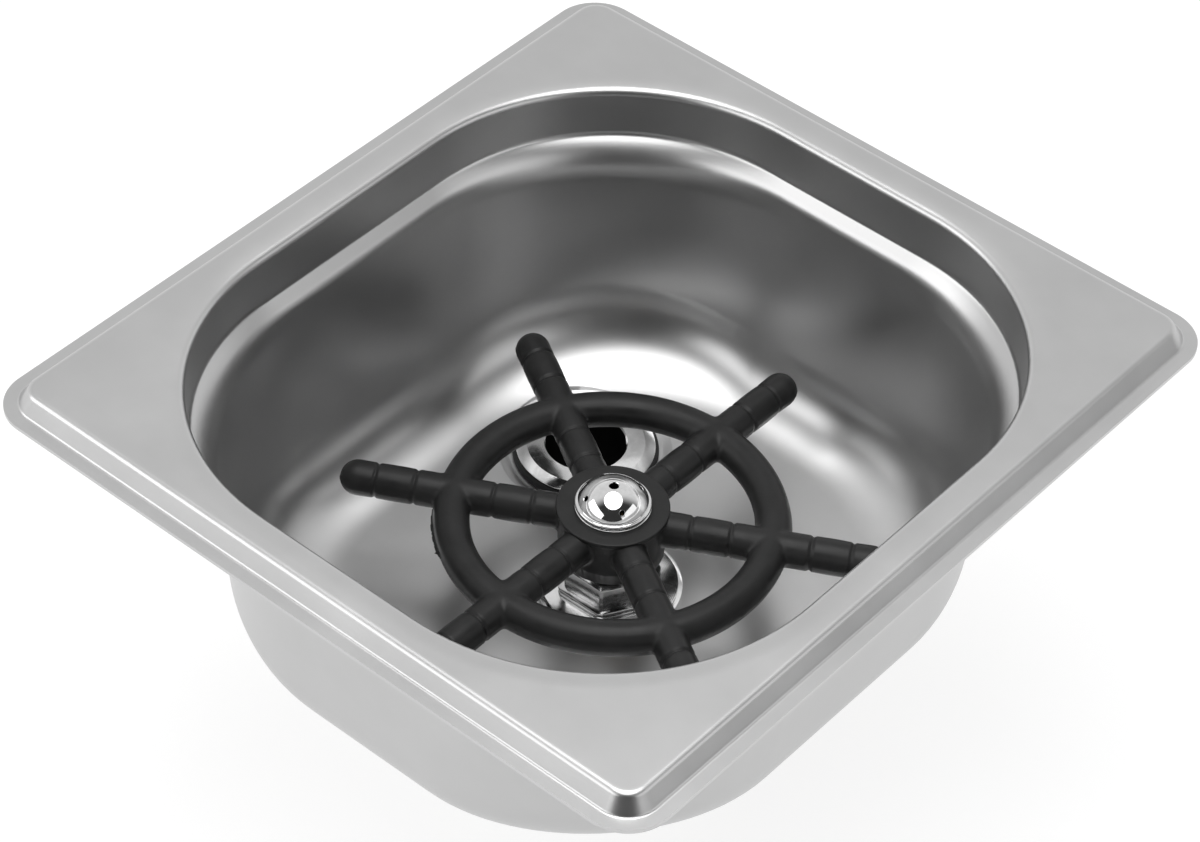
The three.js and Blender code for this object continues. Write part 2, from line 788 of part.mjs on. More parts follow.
const basin = makeBasin();
const rimBandUnder = rimHeight - rimBandDepth;
const ledgeBandUnder = rimHeight - ledgeBandDepth;
const wallBandUnder = rimHeight - wallBandDepth;
place(root, "basin_rim", bandOf(basin, rimBandUnder, rimHeight + overrun), steel);
place(root, "basin_ledge", bandOf(basin, ledgeBandUnder, rimBandUnder), steel);
place(root, "basin_wall", bandOf(basin, wallBandUnder, ledgeBandUnder), steel);
place(root, "basin_floor", bandOf(basin, dishUnder - overrun, wallBandUnder), steel);

place(valve, "spider_wheel", makeWheel(), blackPlastic);
place(valve, "spray_head", makeSprayHead(), chrome);
const headGasket = ring(
  stemThreadRadius + threadClearance,
  headSkirtRadius,
  webTop,
  webTop + headGasketThickness,
  smallSides,
);
place(valve, "spray_head_gasket", headGasket, blackRubber);
place(valve, "plunger_stem", makeStem(), brass);
const oringMiddle = oringGrooveRadius + oringSection / 2;
["stem_oring_upper", "stem_oring_lower"].forEach((name, number) => {
  place(valve, name, roundRing(oringMiddle, oringSection, oringHeight(number), smallSides), blackRubber);
});
place(valve, "valve_bonnet", makeBonnet(), chrome);
const bonnetOring = roundRing(
  bonnetPlugRadius + bodyOringGap + bodyOringSection / 2,
  bodyOringSection,
  bodyHeadTop - bodyOringSection / 2,
  smallSides,
);
place(valve, "bonnet_oring", bonnetOring, blackRubber);
place(valve, "valve_body", makeValveBody(), chrome);
place(valve, "valve_disc", makeDisc(), chrome);
const discGasket = ring(
  discGasketInner,
  discGasketOuter,
  floorTop,
  floorTop + discGasketThickness - grooveClearance,
  mediumSides,
);
place(valve, "disc_gasket", discGasket, blackRubber);

const sealHole = tailRadius + slideClearance;
place(valve, "poppet_seal", ring(sealHole, poppetSealRadius, plateTop, sealTop, smallSides), blackRubber);
place(valve, "poppet_plate", makePoppetPlate(), brass);
const poppetNut = hexNut(poppetNutFlats, sealHole, poppetNutUnder, bossUnder, poppetNutBevel, smallSides);
place(valve, "poppet_nut", poppetNut, zincSteel);
place(valve, "return_spring", makeSpring(), springSteel);
place(valve, "spring_retainer", makeRetainer(), brass);

const valveHole = bodyThreadRadius + threadClearance;
const valveGasketUnder = floorUnder - valveGasketThickness;
const valveWasherUnder = valveGasketUnder - valveWasherThickness;
const valveNutUnder = valveWasherUnder - valveNutHeight;
const valveGasket = ring(valveHole, valveGasketRadius, valveGasketUnder, floorUnder, mediumSides);
const valveWasher = ring(valveHole, valveWasherRadius, valveWasherUnder, valveGasketUnder, mediumSides);
const valveNut = hexNut(valveNutFlats, valveHole, valveNutUnder, valveWasherUnder, nutBevel, mediumSides);
place(valve, "valve_gasket", valveGasket, blackRubber);
place(valve, "valve_washer", valveWasher, zincSteel);
place(valve, "valve_locknut", valveNut, brass);

const drainHole = drainThreadRadius + threadClearance;
const drainGasketUnder = dishUnder - drainGasketThickness;
const drainWasherUnder = drainGasketUnder - drainWasherThickness;
const drainNutUnder = drainWasherUnder - drainNutHeight;
const drainTopGasketTop = dishTop + drainTopGasketThickness;
const drainTopGasket = ring(drainHole, drainTopGasketRadius, dishTop, drainTopGasketTop, mediumSides);
const drainGasket = ring(drainHole, drainGasketRadius, drainGasketUnder, dishUnder, mediumSides);
const drainWasher = ring(drainHole, drainWasherRadius, drainWasherUnder, drainGasketUnder, mediumSides);
const drainNut = hexNut(drainNutFlats, drainHole, drainNutUnder, drainWasherUnder, nutBevel, mediumSides);
place(drain, "drain_body", makeDrainBody(), chrome);
place(drain, "drain_top_gasket", drainTopGasket, blackRubber);
place(drain, "drain_gasket", drainGasket, blackRubber);
place(drain, "drain_washer", drainWasher, zincSteel);
place(drain, "drain_locknut", drainNut, brass);

export default root;
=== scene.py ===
import math

import bmesh
import bpy
from mathutils import Matrix, Vector


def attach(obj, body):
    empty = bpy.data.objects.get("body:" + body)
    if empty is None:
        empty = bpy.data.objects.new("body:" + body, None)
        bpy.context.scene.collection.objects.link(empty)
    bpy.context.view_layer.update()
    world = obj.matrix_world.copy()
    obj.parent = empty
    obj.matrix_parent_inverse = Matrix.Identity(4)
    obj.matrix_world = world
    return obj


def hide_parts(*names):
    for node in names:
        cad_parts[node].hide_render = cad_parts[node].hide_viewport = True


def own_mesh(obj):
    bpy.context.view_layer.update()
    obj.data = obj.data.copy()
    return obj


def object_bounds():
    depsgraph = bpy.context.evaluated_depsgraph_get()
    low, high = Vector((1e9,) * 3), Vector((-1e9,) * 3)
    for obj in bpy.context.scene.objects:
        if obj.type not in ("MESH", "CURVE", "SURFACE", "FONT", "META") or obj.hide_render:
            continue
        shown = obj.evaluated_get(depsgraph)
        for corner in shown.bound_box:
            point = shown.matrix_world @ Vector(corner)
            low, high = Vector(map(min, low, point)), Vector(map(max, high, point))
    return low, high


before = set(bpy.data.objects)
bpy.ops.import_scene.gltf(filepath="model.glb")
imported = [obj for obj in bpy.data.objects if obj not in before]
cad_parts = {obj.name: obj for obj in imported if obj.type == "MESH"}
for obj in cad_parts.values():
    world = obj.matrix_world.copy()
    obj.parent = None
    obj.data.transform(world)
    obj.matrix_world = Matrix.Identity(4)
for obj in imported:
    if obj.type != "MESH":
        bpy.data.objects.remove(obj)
cad_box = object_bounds()
mm = 0.001

# Basin rim
sheet = 0.8 * mm
basin_width, basin_length = 162 * mm, 176 * mm
rim_corner = 9.5 * mm
rim_top = 4.4 * mm
lip_width, step_run = 2.8 * mm, 2.4 * mm
step_foot, shoulder = 0.8 * mm, 1.6 * mm

# Basin bowl. The rim rolls gently down to the mouth before the tight round of its edge.
bowl_width, bowl_length = 137.6 * mm, 151 * mm
bowl_corner = 50 * mm
roll_run, roll_radius, roll_slope = 3.2 * mm, 19.5 * mm, math.radians(10)
mouth_round = 1.7 * mm
upper_draft = 0.3 * mm
ledge_start = -5.7 * mm
ledge_gaps = ((0.35 * mm, 4), (0.125 * mm, 9), (0.3 * mm, 13), (0.5 * mm, 10))
draft_across, draft_along = 8.25 * mm, 7.4 * mm
floor_top = -59.8 * mm
dish_radius, dish_depth, dish_run = 18.4 * mm, 0.5 * mm, 2 * mm
corner_segments = 28
# Width of the flat strip beside a round, which keeps the shading of the flat next to it level
holding = 0.5 * mm

# Places of the two fittings
valve = Vector((1.1 * mm, 1.6 * mm, 0))
drain = Vector((-28.7 * mm, 28.5 * mm, 0))
valve_hole, drain_hole = 8.6 * mm, 10.75 * mm
origin = Vector((0, 0, 0))

# Wheel: six arms through a ring. Its hub is a cup that slides over the bonnet.
arm_plane, arm_root = -40.8 * mm, 9 * mm
arm_radius, arm_reach, arm_count = 3.7 * mm, 56.1 * mm, 6
ring_radius = 32.3 * mm
groove_pitch, groove_places = 8.1 * mm, (-2, -1, 1, 2)
wheel_turn = math.radians(29.2)
hub_top, hub_flange, hub_flange_foot = -36.6 * mm, 11.465 * mm, -37.6 * mm
cup_radius, cup_roof, cup_mouth = 10.115 * mm, -43.6 * mm, -48.3 * mm
seat_radius, seat_floor = 6.25 * mm, -42 * mm
stem_radius = 4.35 * mm

# Spray head: a dome with a short upright foot, over a bead and a thin flange
dome_radius, dome_curve, dome_edge, dome_wall = 7.1 * mm, 8.5 * mm, 0.15 * mm, 1 * mm
dome_top = -31 * mm
bead_circle, bead_radius = 7.27 * mm, 0.5 * mm
flange_radius, flange_top = 7.75 * mm, hub_top + 0.25 * mm
bead_middle = -35.7 * mm
jet_radius, side_jet_radius, side_jet_circle = 0.95 * mm, 0.45 * mm, 5.8 * mm
jet_depth, side_jet_azimuth = 2.2 * mm, 57.75

# Valve: a hexagon bonnet on the low hexagon head of a threaded body, round it a polished disc
bonnet_flats, bonnet_foot, bonnet_top = 17 * mm, -57 * mm, -50.6 * mm
head_flats, head_foot = 19.4 * mm, -58.2 * mm
shank_crest, shank_root, shank_pitch, shank_end = 8.33 * mm, 7.5 * mm, 1.337 * mm, -96 * mm
chamber_radius = 6.4 * mm
disc_bore, disc_radius, disc_top = 8.6 * mm, 14.9 * mm, -58.2 * mm

# Drain
tail_crest, tail_root, tail_pitch, tail_end = 10.48 * mm, 9.4 * mm, 1.814 * mm, -101 * mm
drain_bore, drain_flange = 8.55 * mm, 14.75 * mm
drain_flange_foot, drain_flange_top = -58.8 * mm, -57.4 * mm

# Side of the basin that the camera looks from, in degrees from the front towards the right
camera_azimuth = 39.15


def deselect():
    """Back to object mode, with nothing selected."""
    if bpy.context.mode != "OBJECT":
        bpy.ops.object.mode_set(mode="OBJECT")
    bpy.ops.object.select_all(action="DESELECT")


def take(piece):
    """Makes one piece the active and only selected object."""
    deselect()
    bpy.context.view_layer.objects.active = piece
    piece.select_set(True)


def edit(piece, kind="VERT", action="DESELECT"):
    """Opens a piece for editing, with nothing in it selected or everything."""
    take(piece)
    bpy.ops.object.mode_set(mode="EDIT")
    bpy.ops.mesh.select_mode(type=kind)
    bpy.ops.mesh.select_all(action=action)


def pick_open_edges(piece, height):
    """In edit mode, selects the open edges at a height."""
    bpy.ops.mesh.select_all(action="DESELECT")
    bm = bmesh.from_edit_mesh(piece.data)
    near = 0.001 * mm
    for edge in bm.edges:
        level = all(abs(vert.co.z - height) < near for vert in edge.verts)
        edge.select_set(edge.is_boundary and level)
    bmesh.update_edit_mesh(piece.data)


def pick_points(piece, test):
    """In edit mode, selects the points whose place and normal pass the test."""
    bpy.ops.mesh.select_all(action="DESELECT")
    bm = bmesh.from_edit_mesh(piece.data)
    for vert in bm.verts:
        vert.select_set(bool(test(vert.co, vert.normal)))
    bmesh.update_edit_mesh(piece.data)


def settle(piece, name=None):
    """Puts a piece's place and turn into its mesh, with its faces outward."""
    edit(piece, action="SELECT")
    bpy.ops.mesh.normals_make_consistent(inside=False)
    take(piece)
    bpy.ops.object.transform_apply(location=True, rotation=True, scale=True)
    if name:
        piece.name = name
        piece.data.name = name
    return piece


def modify(piece, kind, **settings):
    """Adds a modifier and applies it."""
    take(piece)
    modifier = piece.modifiers.new("work", kind)
    for key, value in settings.items():
        setattr(modifier, key, value)
    bpy.ops.object.modifier_apply(modifier="work")
    return piece


def boolean(piece, tool, operation):
    """Joins, cuts or trims a piece with a tool, which is used up."""
    modify(piece, "BOOLEAN", operation=operation, object=tool, solver="MANIFOLD")
    bpy.data.objects.remove(tool)
    return piece


def join(pieces):
    """Joins several pieces into the first."""
    take(pieces[0])
    for piece in pieces[1:]:
        piece.select_set(True)
    bpy.ops.object.join()
    return pieces[0]


def copy_of(piece):
    """A second piece with its own mesh."""
    twin = piece.copy()
    twin.data = piece.data.copy()
    bpy.context.scene.collection.objects.link(twin)
    return twin


def arc(corner, before, after, radius, steps):
    """The points of a round of a radius at a corner between two neighbours."""
    corner, before, after = Vector(corner), Vector(before), Vector(after)
    back, ahead = (before - corner).normalized(), (after - corner).normalized()
    half = back.angle(ahead) / 2
    centre = corner + (back + ahead).normalized() * (radius / math.sin(half))
    start = corner + back * (radius / math.tan(half)) - centre
    end = corner + ahead * (radius / math.tan(half)) - centre
    turn = math.atan2(start.x * end.y - start.y * end.x, start.dot(end))
    points = []
    for step in range(steps + 1):
        part = turn * step / steps
        x = start.x * math.cos(part) - start.y * math.sin(part)
        y = start.x * math.sin(part) + start.y * math.cos(part)
        points.append((centre.x + x, centre.y + y))
    return points


def rounded(corners):
    """An outline of [radius or reach, height] corners. Each can have a round and its steps."""
    points = []
    for i, (x, z, *round_off) in enumerate(corners):
        if round_off:
            before, after = corners[i - 1][:2], corners[(i + 1) % len(corners)][:2]
            points += arc((x, z), before, after, *round_off)
        else:
            points.append((x, z))
    return points


def turned(name, centre, outline, sides):
    """A piece turned about an upright axis. Its outline runs round a ring, or starts and ends on
    the axis at radius zero."""
    solid = outline[0][0] == 0
    path = outline[1:-1] if solid else outline + [outline[0]]
    (radius, height), rest = path[0], path[1:]
    deselect()
    bpy.ops.mesh.primitive_circle_add(
        vertices=sides,
        radius=radius,
        fill_type="NGON" if solid else "NOTHING",
        location=(centre.x, centre.y, height),
    )
    piece = bpy.context.object
    bpy.ops.object.mode_set(mode="EDIT")
    bpy.ops.mesh.select_mode(type="VERT")
    bpy.ops.mesh.select_all(action="SELECT")
    for next_radius, next_height in rest:
        bpy.ops.mesh.extrude_region_move(
            TRANSFORM_OT_translate={"value": (0, 0, next_height - height)}
        )
        scale = next_radius / radius
        bpy.ops.transform.resize(
            value=(scale, scale, 1),
            center_override=(centre.x, centre.y, next_height),
        )
        radius, height = next_radius, next_height
    bpy.ops.mesh.select_all(action="SELECT")
    if not solid:
        bpy.ops.mesh.remove_doubles(threshold=0.001 * mm)
    return settle(piece, name)


def prism(name, centre, flats, trim, low, high, top_run=0, top_drop=0):
    """An upright hexagon bar with trimmed corners, and a bevel round its top if it has one."""
    deselect()
    bpy.ops.mesh.primitive_circle_add(
        vertices=6,
        radius=flats / 2 / math.cos(math.pi / 6),
        fill_type="NGON",
        location=(centre.x, centre.y, low),
        rotation=(0, 0, math.pi / 6),
    )
    piece = bpy.context.object
    bpy.ops.object.mode_set(mode="EDIT")
    bpy.ops.mesh.select_all(action="SELECT")
    if trim:
        bpy.ops.mesh.bevel(offset=trim, segments=1, affect="VERTICES")
        bpy.ops.mesh.select_all(action="SELECT")
    bpy.ops.mesh.extrude_region_move(
        TRANSFORM_OT_translate={"value": (0, 0, high - top_drop - low)}
    )
    if top_drop:
        bpy.ops.mesh.extrude_region_move(
            TRANSFORM_OT_translate={"value": (0, 0, top_drop)}
        )
        scale = (flats - 2 * top_run) / flats
        bpy.ops.transform.resize(
            value=(scale, scale, 1), center_override=(centre.x, centre.y, high)
        )
    return settle(piece, name)


def drill(piece, centre, radius, low, high, sides=64):
    """Bores a round hole."""
    outline = [(0, low), (radius, low), (radius, high), (0, high)]
    return boolean(piece, turned("drill", centre, outline, sides), "DIFFERENCE")


def screw_thread(centre, root, crest, pitch, low, high):
    """A helical ridge from low to high, to be joined to the bar it is cut on."""
    sink, flank, steps = 0.12 * mm, 0.46 * pitch, 48
    deselect()
    bpy.ops.mesh.primitive_circle_add(vertices=3, radius=1, fill_type="NOTHING")
    ridge = bpy.context.object
    corners = [(crest, 0), (root - sink, flank), (root - sink, -flank)]
    for vert, (x, z) in zip(ridge.data.vertices, corners):
        vert.co = (x, 0, z)
    modify(
        ridge,
        "SCREW",
        axis="Z",
        angle=2 * math.pi,
        screw_offset=pitch,
        iterations=math.ceil((high - low) / pitch) + 1,
        steps=steps,
        render_steps=steps,
        use_merge_vertices=True,
        merge_threshold=0.0001 * mm,
    )
    edit(ridge, action="SELECT")
    bpy.ops.mesh.fill_holes(sides=0)
    take(ridge)
    ridge.location = (centre.x, centre.y, low - pitch / 2)
    return settle(ridge)


def soften(piece, width, degrees):
    """Rounds the edges of a piece that are sharper than an angle a little."""
    return modify(
        piece,
        "BEVEL",
        width=width,
        segments=2,
        limit_method="ANGLE",
        angle_limit=math.radians(degrees),
        use_clamp_overlap=True,
    )


def dress(piece, body, slot, material, *nodes, degrees=32):
    """Gives a finished piece its shading, finish, body and the CAD nodes it stands for."""
    take(piece)
    bpy.ops.object.shade_smooth_by_angle(angle=math.radians(degrees))
    piece.data.materials.clear()
    piece.data.materials.append(material)
    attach(piece, body)
    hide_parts(*nodes)
    return piece


class Nodes:
    """A node tree, built up from nothing."""

    def __init__(self, owner):
        owner.use_nodes = True
        self.tree = owner.node_tree
        self.tree.nodes.clear()

    def node(self, kind, inputs=(), **settings):
        node = self.tree.nodes.new(kind)
        for key, value in settings.items():
            setattr(node, key, value)
        for socket, value in dict(inputs).items():
            self.feed(node.inputs[socket], value)
        return node

    def feed(self, socket, value):
        if isinstance(value, bpy.types.NodeSocket):
            self.tree.links.new(value, socket)
        else:
            socket.default_value = value

    def maths(self, a, b, operation="ADD"):
        return self.node("ShaderNodeMath", {0: a, 1: b}, operation=operation).outputs[0]

    def between(self, value, low, high, start=0.3, end=0.7, interpolation="LINEAR"):
        """A value, such as a texture's, laid between two limits."""
        inputs = {
            "Value": value,
            "From Min": start,
            "From Max": end,
            "To Min": low,
            "To Max": high,
        }
        node = self.node("ShaderNodeMapRange", inputs, interpolation_type=interpolation)
        return node.outputs[0]

    def background_rays(self):
        """1 for the rays that see the background: camera, reflection and transmission."""
        rays = self.node("ShaderNodeLightPath").outputs
        first = self.maths(rays["Is Camera Ray"], rays["Is Glossy Ray"], "MAXIMUM")
        return self.maths(first, rays["Is Transmission Ray"], "MAXIMUM")


class Recipe(Nodes):
    """A material's nodes, added one after another."""

    def __init__(self, name, colour, metallic, roughness, **sockets):
        self.material = bpy.data.materials.new(name)
        super().__init__(self.material)
        self.shader = self.node("ShaderNodeBsdfPrincipled")
        self.node("ShaderNodeOutputMaterial", {0: self.shader.outputs[0]})
        self.shader.inputs["Base Color"].default_value = (*colour, 1)
        self.shader.inputs["Metallic"].default_value = metallic
        self.shader.inputs["Roughness"].default_value = roughness
        for socket, value in sockets.items():
            self.shader.inputs[socket.replace("_", " ")].default_value = value
        self.place = self.node("ShaderNodeTexCoord").outputs["Object"]
        self.normal = None

    def colour(self, value):
        self.feed(self.shader.inputs["Base Color"], value)

    def rough(self, value):
        self.feed(self.shader.inputs["Roughness"], value)

    def noise(self, scale, detail, roughness, stretch=(1, 1, 1)):
        """Noise in the piece's own place, drawn out along an axis where stretch is small."""
        mapping = self.node("ShaderNodeMapping", {"Vector": self.place, "Scale": stretch})
        inputs = {
            "Vector": mapping.outputs[0],
            "Scale": scale,
            "Detail": detail,
            "Roughness": roughness,
        }
        return self.node("ShaderNodeTexNoise", inputs).outputs["Fac"]

    def rings(self, centre, scale, distortion):
        """Fine turning rings about an upright axis."""
        offset = (-centre.x, -centre.y, 0)
        mapping = self.node("ShaderNodeMapping", {"Vector": self.place, "Location": offset})
        inputs = {
            "Vector": mapping.outputs[0],
            "Scale": scale,
            "Distortion": distortion,
            "Detail": 3.0,
            "Detail Scale": 2.0,
        }
        node = self.node("ShaderNodeTexWave", inputs, wave_type="RINGS", rings_direction="Z")
        return node.outputs["Fac"]

    def shade(self, value, low, high):
        """Grey or tinted colour from low to high along a texture's value."""
        inputs = {0: self.between(value, 0.0, 1.0), 6: (*low, 1), 7: (*high, 1)}
        mix = self.node("ShaderNodeMix", inputs, data_type="RGBA")
        self.colour(mix.outputs[2])
        return mix.outputs[2]

    def inside(self, centre, reach, colour, roughness, finish):
        """Painted shade: a dull, near-black colour within an ellipsoid of the reaches given, over
        the outer finish, which is a pair of colour and roughness."""
        inputs = {0: self.place, 1: centre}
        offset = self.node("ShaderNodeVectorMath", inputs, operation="SUBTRACT")
        inputs = {0: offset.outputs[0], 1: reach}
        scaled = self.node("ShaderNodeVectorMath", inputs, operation="DIVIDE")
        away = self.node("ShaderNodeVectorMath", {0: scaled.outputs[0]}, operation="LENGTH")
        # Painted shade: points within the ellipsoid take the near-black colour
        within = self.maths(away.outputs["Value"], 1.0, "LESS_THAN")
        inputs = {0: within, 6: finish[0], 7: (*colour, 1)}
        self.colour(self.node("ShaderNodeMix", inputs, data_type="RGBA").outputs[2])
        inputs = {0: within, 2: finish[1], 3: roughness}
        self.rough(self.node("ShaderNodeMix", inputs, data_type="FLOAT").outputs[0])

    def bump(self, height, distance, strength):
        """Relief of a real height, on top of what was added before."""
        inputs = {"Height": height, "Distance": distance, "Strength": strength}
        if self.normal is not None:
            inputs["Normal"] = self.normal
        self.normal = self.node("ShaderNodeBump", inputs).outputs[0]
        self.feed(self.shader.inputs["Normal"], self.normal)


def grey(value):
    return (value, value, value)


def pressed_steel():
    """Satin stainless sheet: rolled grain, drawing lines down the walls, a slightly wavy press.
    Painted light and shade by height: the colour is darker on the walls, brightest on the floor
    and a little lighter again towards the rim."""
    recipe = Recipe("pressed_steel", grey(0.55), 1.0, 0.33)
    waves = recipe.noise(22, 2, 0.5)
    drawn = recipe.noise(520, 3, 0.6, (1, 1, 0.06))
    grain = recipe.noise(1300, 2, 0.5)
    smears = recipe.noise(45, 5, 0.6)
    recipe.bump(waves, 0.12 * mm, 0.5)
    recipe.bump(drawn, 0.003 * mm, 0.5)
    recipe.bump(grain, 0.0015 * mm, 0.5)
    recipe.rough(recipe.between(smears, 0.31, 0.35))
    tone = recipe.shade(smears, grey(0.535), grey(0.57))
    # Painted light and shade: the colour is lifted on the floor, lowered on the walls and raised a
    # little again towards the rim
    height = recipe.node("ShaderNodeSeparateXYZ", {0: recipe.place}).outputs["Z"]
    low = recipe.between(height, 1.17, 0.93, floor_top + mm, floor_top + 9 * mm)
    high = recipe.between(height, 0.0, 0.07, -14 * mm, -8 * mm)
    inputs = {0: tone, "Scale": recipe.maths(low, high)}
    painted_light_tone = recipe.node("ShaderNodeVectorMath", inputs, operation="SCALE")
    recipe.colour(painted_light_tone.outputs[0])
    return recipe.material


def moulded_plastic():
    """Semi-matte black moulding with a fine skin and rubbed lighter patches."""
    recipe = Recipe("black_plastic", grey(0.014), 0.0, 0.42, Specular_IOR_Level=0.30)
    skin = recipe.noise(1500, 4, 0.6)
    swirl = recipe.noise(160, 4, 0.6)
    dimples = recipe.noise(420, 3, 0.6)
    recipe.bump(skin, 0.03 * mm, 0.5)
    recipe.bump(dimples, 0.06 * mm, 0.4)
    recipe.bump(swirl, 0.14 * mm, 0.4)
    recipe.rough(recipe.between(swirl, 0.33, 0.52))
    recipe.shade(swirl, grey(0.010), grey(0.019))
    return recipe.material


def chrome_plate():
    """Chrome over a milled brass blank, a little dull on its flats."""
    recipe = Recipe("chrome", grey(0.62), 1.0, 0.17)
    milled = recipe.noise(700, 2, 0.5, (1, 1, 0.12))
    haze = recipe.noise(900, 4, 0.6)
    recipe.bump(milled, 0.002 * mm, 0.4)
    recipe.rough(recipe.between(haze, 0.13, 0.21))
    recipe.shade(haze, grey(0.56), grey(0.68))
    return recipe.material


def dome_chrome():
    """Bright chrome, slightly rippled, with painted shade inside the spray head, which is near
    black and dull there.
    """
    recipe = Recipe("chrome_dome", grey(0.80), 1.0, 0.05)
    ripple = recipe.noise(240, 2, 0.5)
    haze = recipe.noise(900, 4, 0.6)
    recipe.bump(ripple, 0.008 * mm, 0.5)
    outer = (recipe.shade(haze, grey(0.76), grey(0.84)), recipe.between(haze, 0.03, 0.08))
    middle = (valve.x, valve.y, -36 * mm)
    reach = (6.9 * mm, 6.9 * mm, 4.8 * mm)
    # Painted shade: near-black, dull colour inside the spray head's hollow
    recipe.inside(middle, reach, grey(0.01), 0.7, outer)
    return recipe.material


def turned_chrome(name, centre, bore):
    """Chrome with the fine rings that turning leaves, with painted shade inside its bore, which is
    near black and dull.
    """
    recipe = Recipe(name, grey(0.82), 1.0, 0.12)
    cut = recipe.rings(centre, 900, 2.0)
    haze = recipe.noise(700, 4, 0.6)
    recipe.bump(cut, 0.004 * mm, 0.5)
    outer = (recipe.shade(haze, grey(0.78), grey(0.88)), recipe.between(haze, 0.09, 0.20))
    reach = bore + 0.03 * mm
    # Painted shade: near-black, dull colour within the bore
    recipe.inside((centre.x, centre.y, 0), (reach, reach, 1), grey(0.008), 0.7, outer)
    return recipe.material


def rubber():
    recipe = Recipe("black_rubber", grey(0.014), 0.0, 0.75)
    skin = recipe.noise(900, 4, 0.6)
    dust = recipe.noise(240, 5, 0.65)
    recipe.bump(skin, 0.03 * mm, 0.5)
    recipe.rough(recipe.between(dust, 0.65, 0.85))
    recipe.shade(dust, grey(0.011), grey(0.022))
    return recipe.material


def turned_brass():
    recipe = Recipe("brass", (0.60, 0.43, 0.19), 1.0, 0.25)
    cut = recipe.noise(1200, 3, 0.6, (0.15, 0.15, 1))
    tarnish = recipe.noise(160, 5, 0.65)
    recipe.bump(cut, 0.006 * mm, 0.5)
    recipe.rough(recipe.between(tarnish, 0.29, 0.40))
    recipe.shade(tarnish, (0.47, 0.32, 0.13), (0.68, 0.50, 0.24))
    return recipe.material


def zinc_plate():
    recipe = Recipe("zinc_steel", grey(0.5), 1.0, 0.35)
    spangle = recipe.noise(420, 4, 0.6)
    recipe.bump(spangle, 0.01 * mm, 0.5)
    recipe.rough(recipe.between(spangle, 0.30, 0.46))
    recipe.shade(spangle, grey(0.42), grey(0.56))
    return recipe.material


def spring_wire():
    recipe = Recipe("spring_steel", grey(0.42), 1.0, 0.28)
    drawn = recipe.noise(1400, 3, 0.6, (1, 1, 0.3))
    recipe.bump(drawn, 0.004 * mm, 0.5)
    recipe.rough(recipe.between(drawn, 0.30, 0.42))
    recipe.shade(drawn, grey(0.36), grey(0.48))
    return recipe.material


def rounded_plate(name, half_x, half_y, radius, height):
    """A flat sheet with round corners, open for editing, with its face selected."""
    deselect()
    bpy.ops.mesh.primitive_plane_add(size=1, location=(0, 0, height))
    piece = bpy.context.object
    piece.name = name
    piece.scale = (2 * half_x, 2 * half_y, 1)
    bpy.ops.object.transform_apply(location=True, rotation=True, scale=True)
    bpy.ops.object.mode_set(mode="EDIT")
    bpy.ops.mesh.select_mode(type="VERT")
    bpy.ops.mesh.select_all(action="SELECT")
    bpy.ops.mesh.bevel(offset=radius, segments=corner_segments, affect="VERTICES")
    bpy.ops.mesh.select_mode(type="FACE")
    bpy.ops.mesh.select_all(action="SELECT")
    return piece


def press(path):
    """Presses the selected face through a path of [reach, height] points, one inset at a time."""
    for (x0, z0), (x1, z1) in zip(path, path[1:]):
        bpy.ops.mesh.inset(thickness=x0 - x1, depth=z1 - z0, use_even_offset=True)


def bowl_section(foot, foot_round, run, fall, edge_round, floor_edge, floor_round):
    """The bowl's outline from the rim to the floor: roll, mouth, ledge, wall and floor round.
    Through the ledge its points lie at set heights, the same for each section."""
    mouth, wall = bowl_width / 2, bowl_width / 2 - upper_draft
    lip = [
        (mouth + 4 * roll_run, rim_top),
        (mouth + roll_run, rim_top, roll_radius, 6),
        (mouth, rim_top - roll_run * math.tan(roll_slope), mouth_round, 9),
        (wall, foot),
    ]
    ledge = [
        (wall, 0),
        (wall, foot, foot_round, 24),
        (wall - run, foot - fall, edge_round, 48),
        (floor_edge, floor_top),
    ]
    bottom = [
        (wall - run, foot - fall),
        (floor_edge, floor_top, floor_round, 22),
        (floor_edge - 2 * floor_round, floor_top),
    ]
    upper, middle, lower = (rounded(line)[1:-1] for line in (lip, ledge, bottom))
    middle = [(wall, 0), *middle, (floor_edge, floor_top)]
    path = [(upper[0][0] + holding / 2, rim_top), *upper]
    height = ledge_start
    for gap, count in ledge_gaps:
        for _ in range(count):
            i = next(i for i, point in enumerate(middle) if point[1] < height)
            (x0, z0), (x1, z1) = middle[i - 1], middle[i]
            path.append((x0 + (x1 - x0) * (height - z0) / (z1 - z0), height))
            height -= gap
    return [*path, *lower, (lower[-1][0] - holding, floor_top)]


def mark_ring(piece, number):
    """In edit mode, numbers the selected ring of points."""
    bm = bmesh.from_edit_mesh(piece.data)
    rings = bm.verts.layers.int.get("ring") or bm.verts.layers.int.new("ring")
    for vert in bm.verts:
        if vert.select:
            vert[rings] = number


def draw_corners(piece, along, diagonal):
    """In edit mode, gives the corners their own section: each ring's corner radius grows until
    its middle lies on the diagonal section."""
    bm = bmesh.from_edit_mesh(piece.data)
    rings = bm.verts.layers.int.get("ring")
    middle_x, middle_y = bowl_width / 2 - bowl_corner, bowl_length / 2 - bowl_corner
    # How far the corner of a unit square lies beyond its quarter circle
    bulge = math.sqrt(2) - 1
    for vert in bm.verts:
        out_x, out_y = abs(vert.co.x) - middle_x, abs(vert.co.y) - middle_y
        angle = math.atan2(max(out_y, 0), max(out_x, 0))
        part = (math.cos(angle) + math.sin(angle) - 1) / bulge
        (x0, z0), (x1, z1) = along[vert[rings]], diagonal[vert[rings]]
        growth = (x0 - x1) / bulge
        vert.co.x += math.copysign(1, vert.co.x) * growth * (math.cos(angle) - 1)
        vert.co.y += math.copysign(1, vert.co.y) * growth * (math.sin(angle) - 1)
        vert.co.z += (z1 - z0) * part * part
    bm.verts.layers.int.remove(rings)
    bmesh.update_edit_mesh(piece.data)


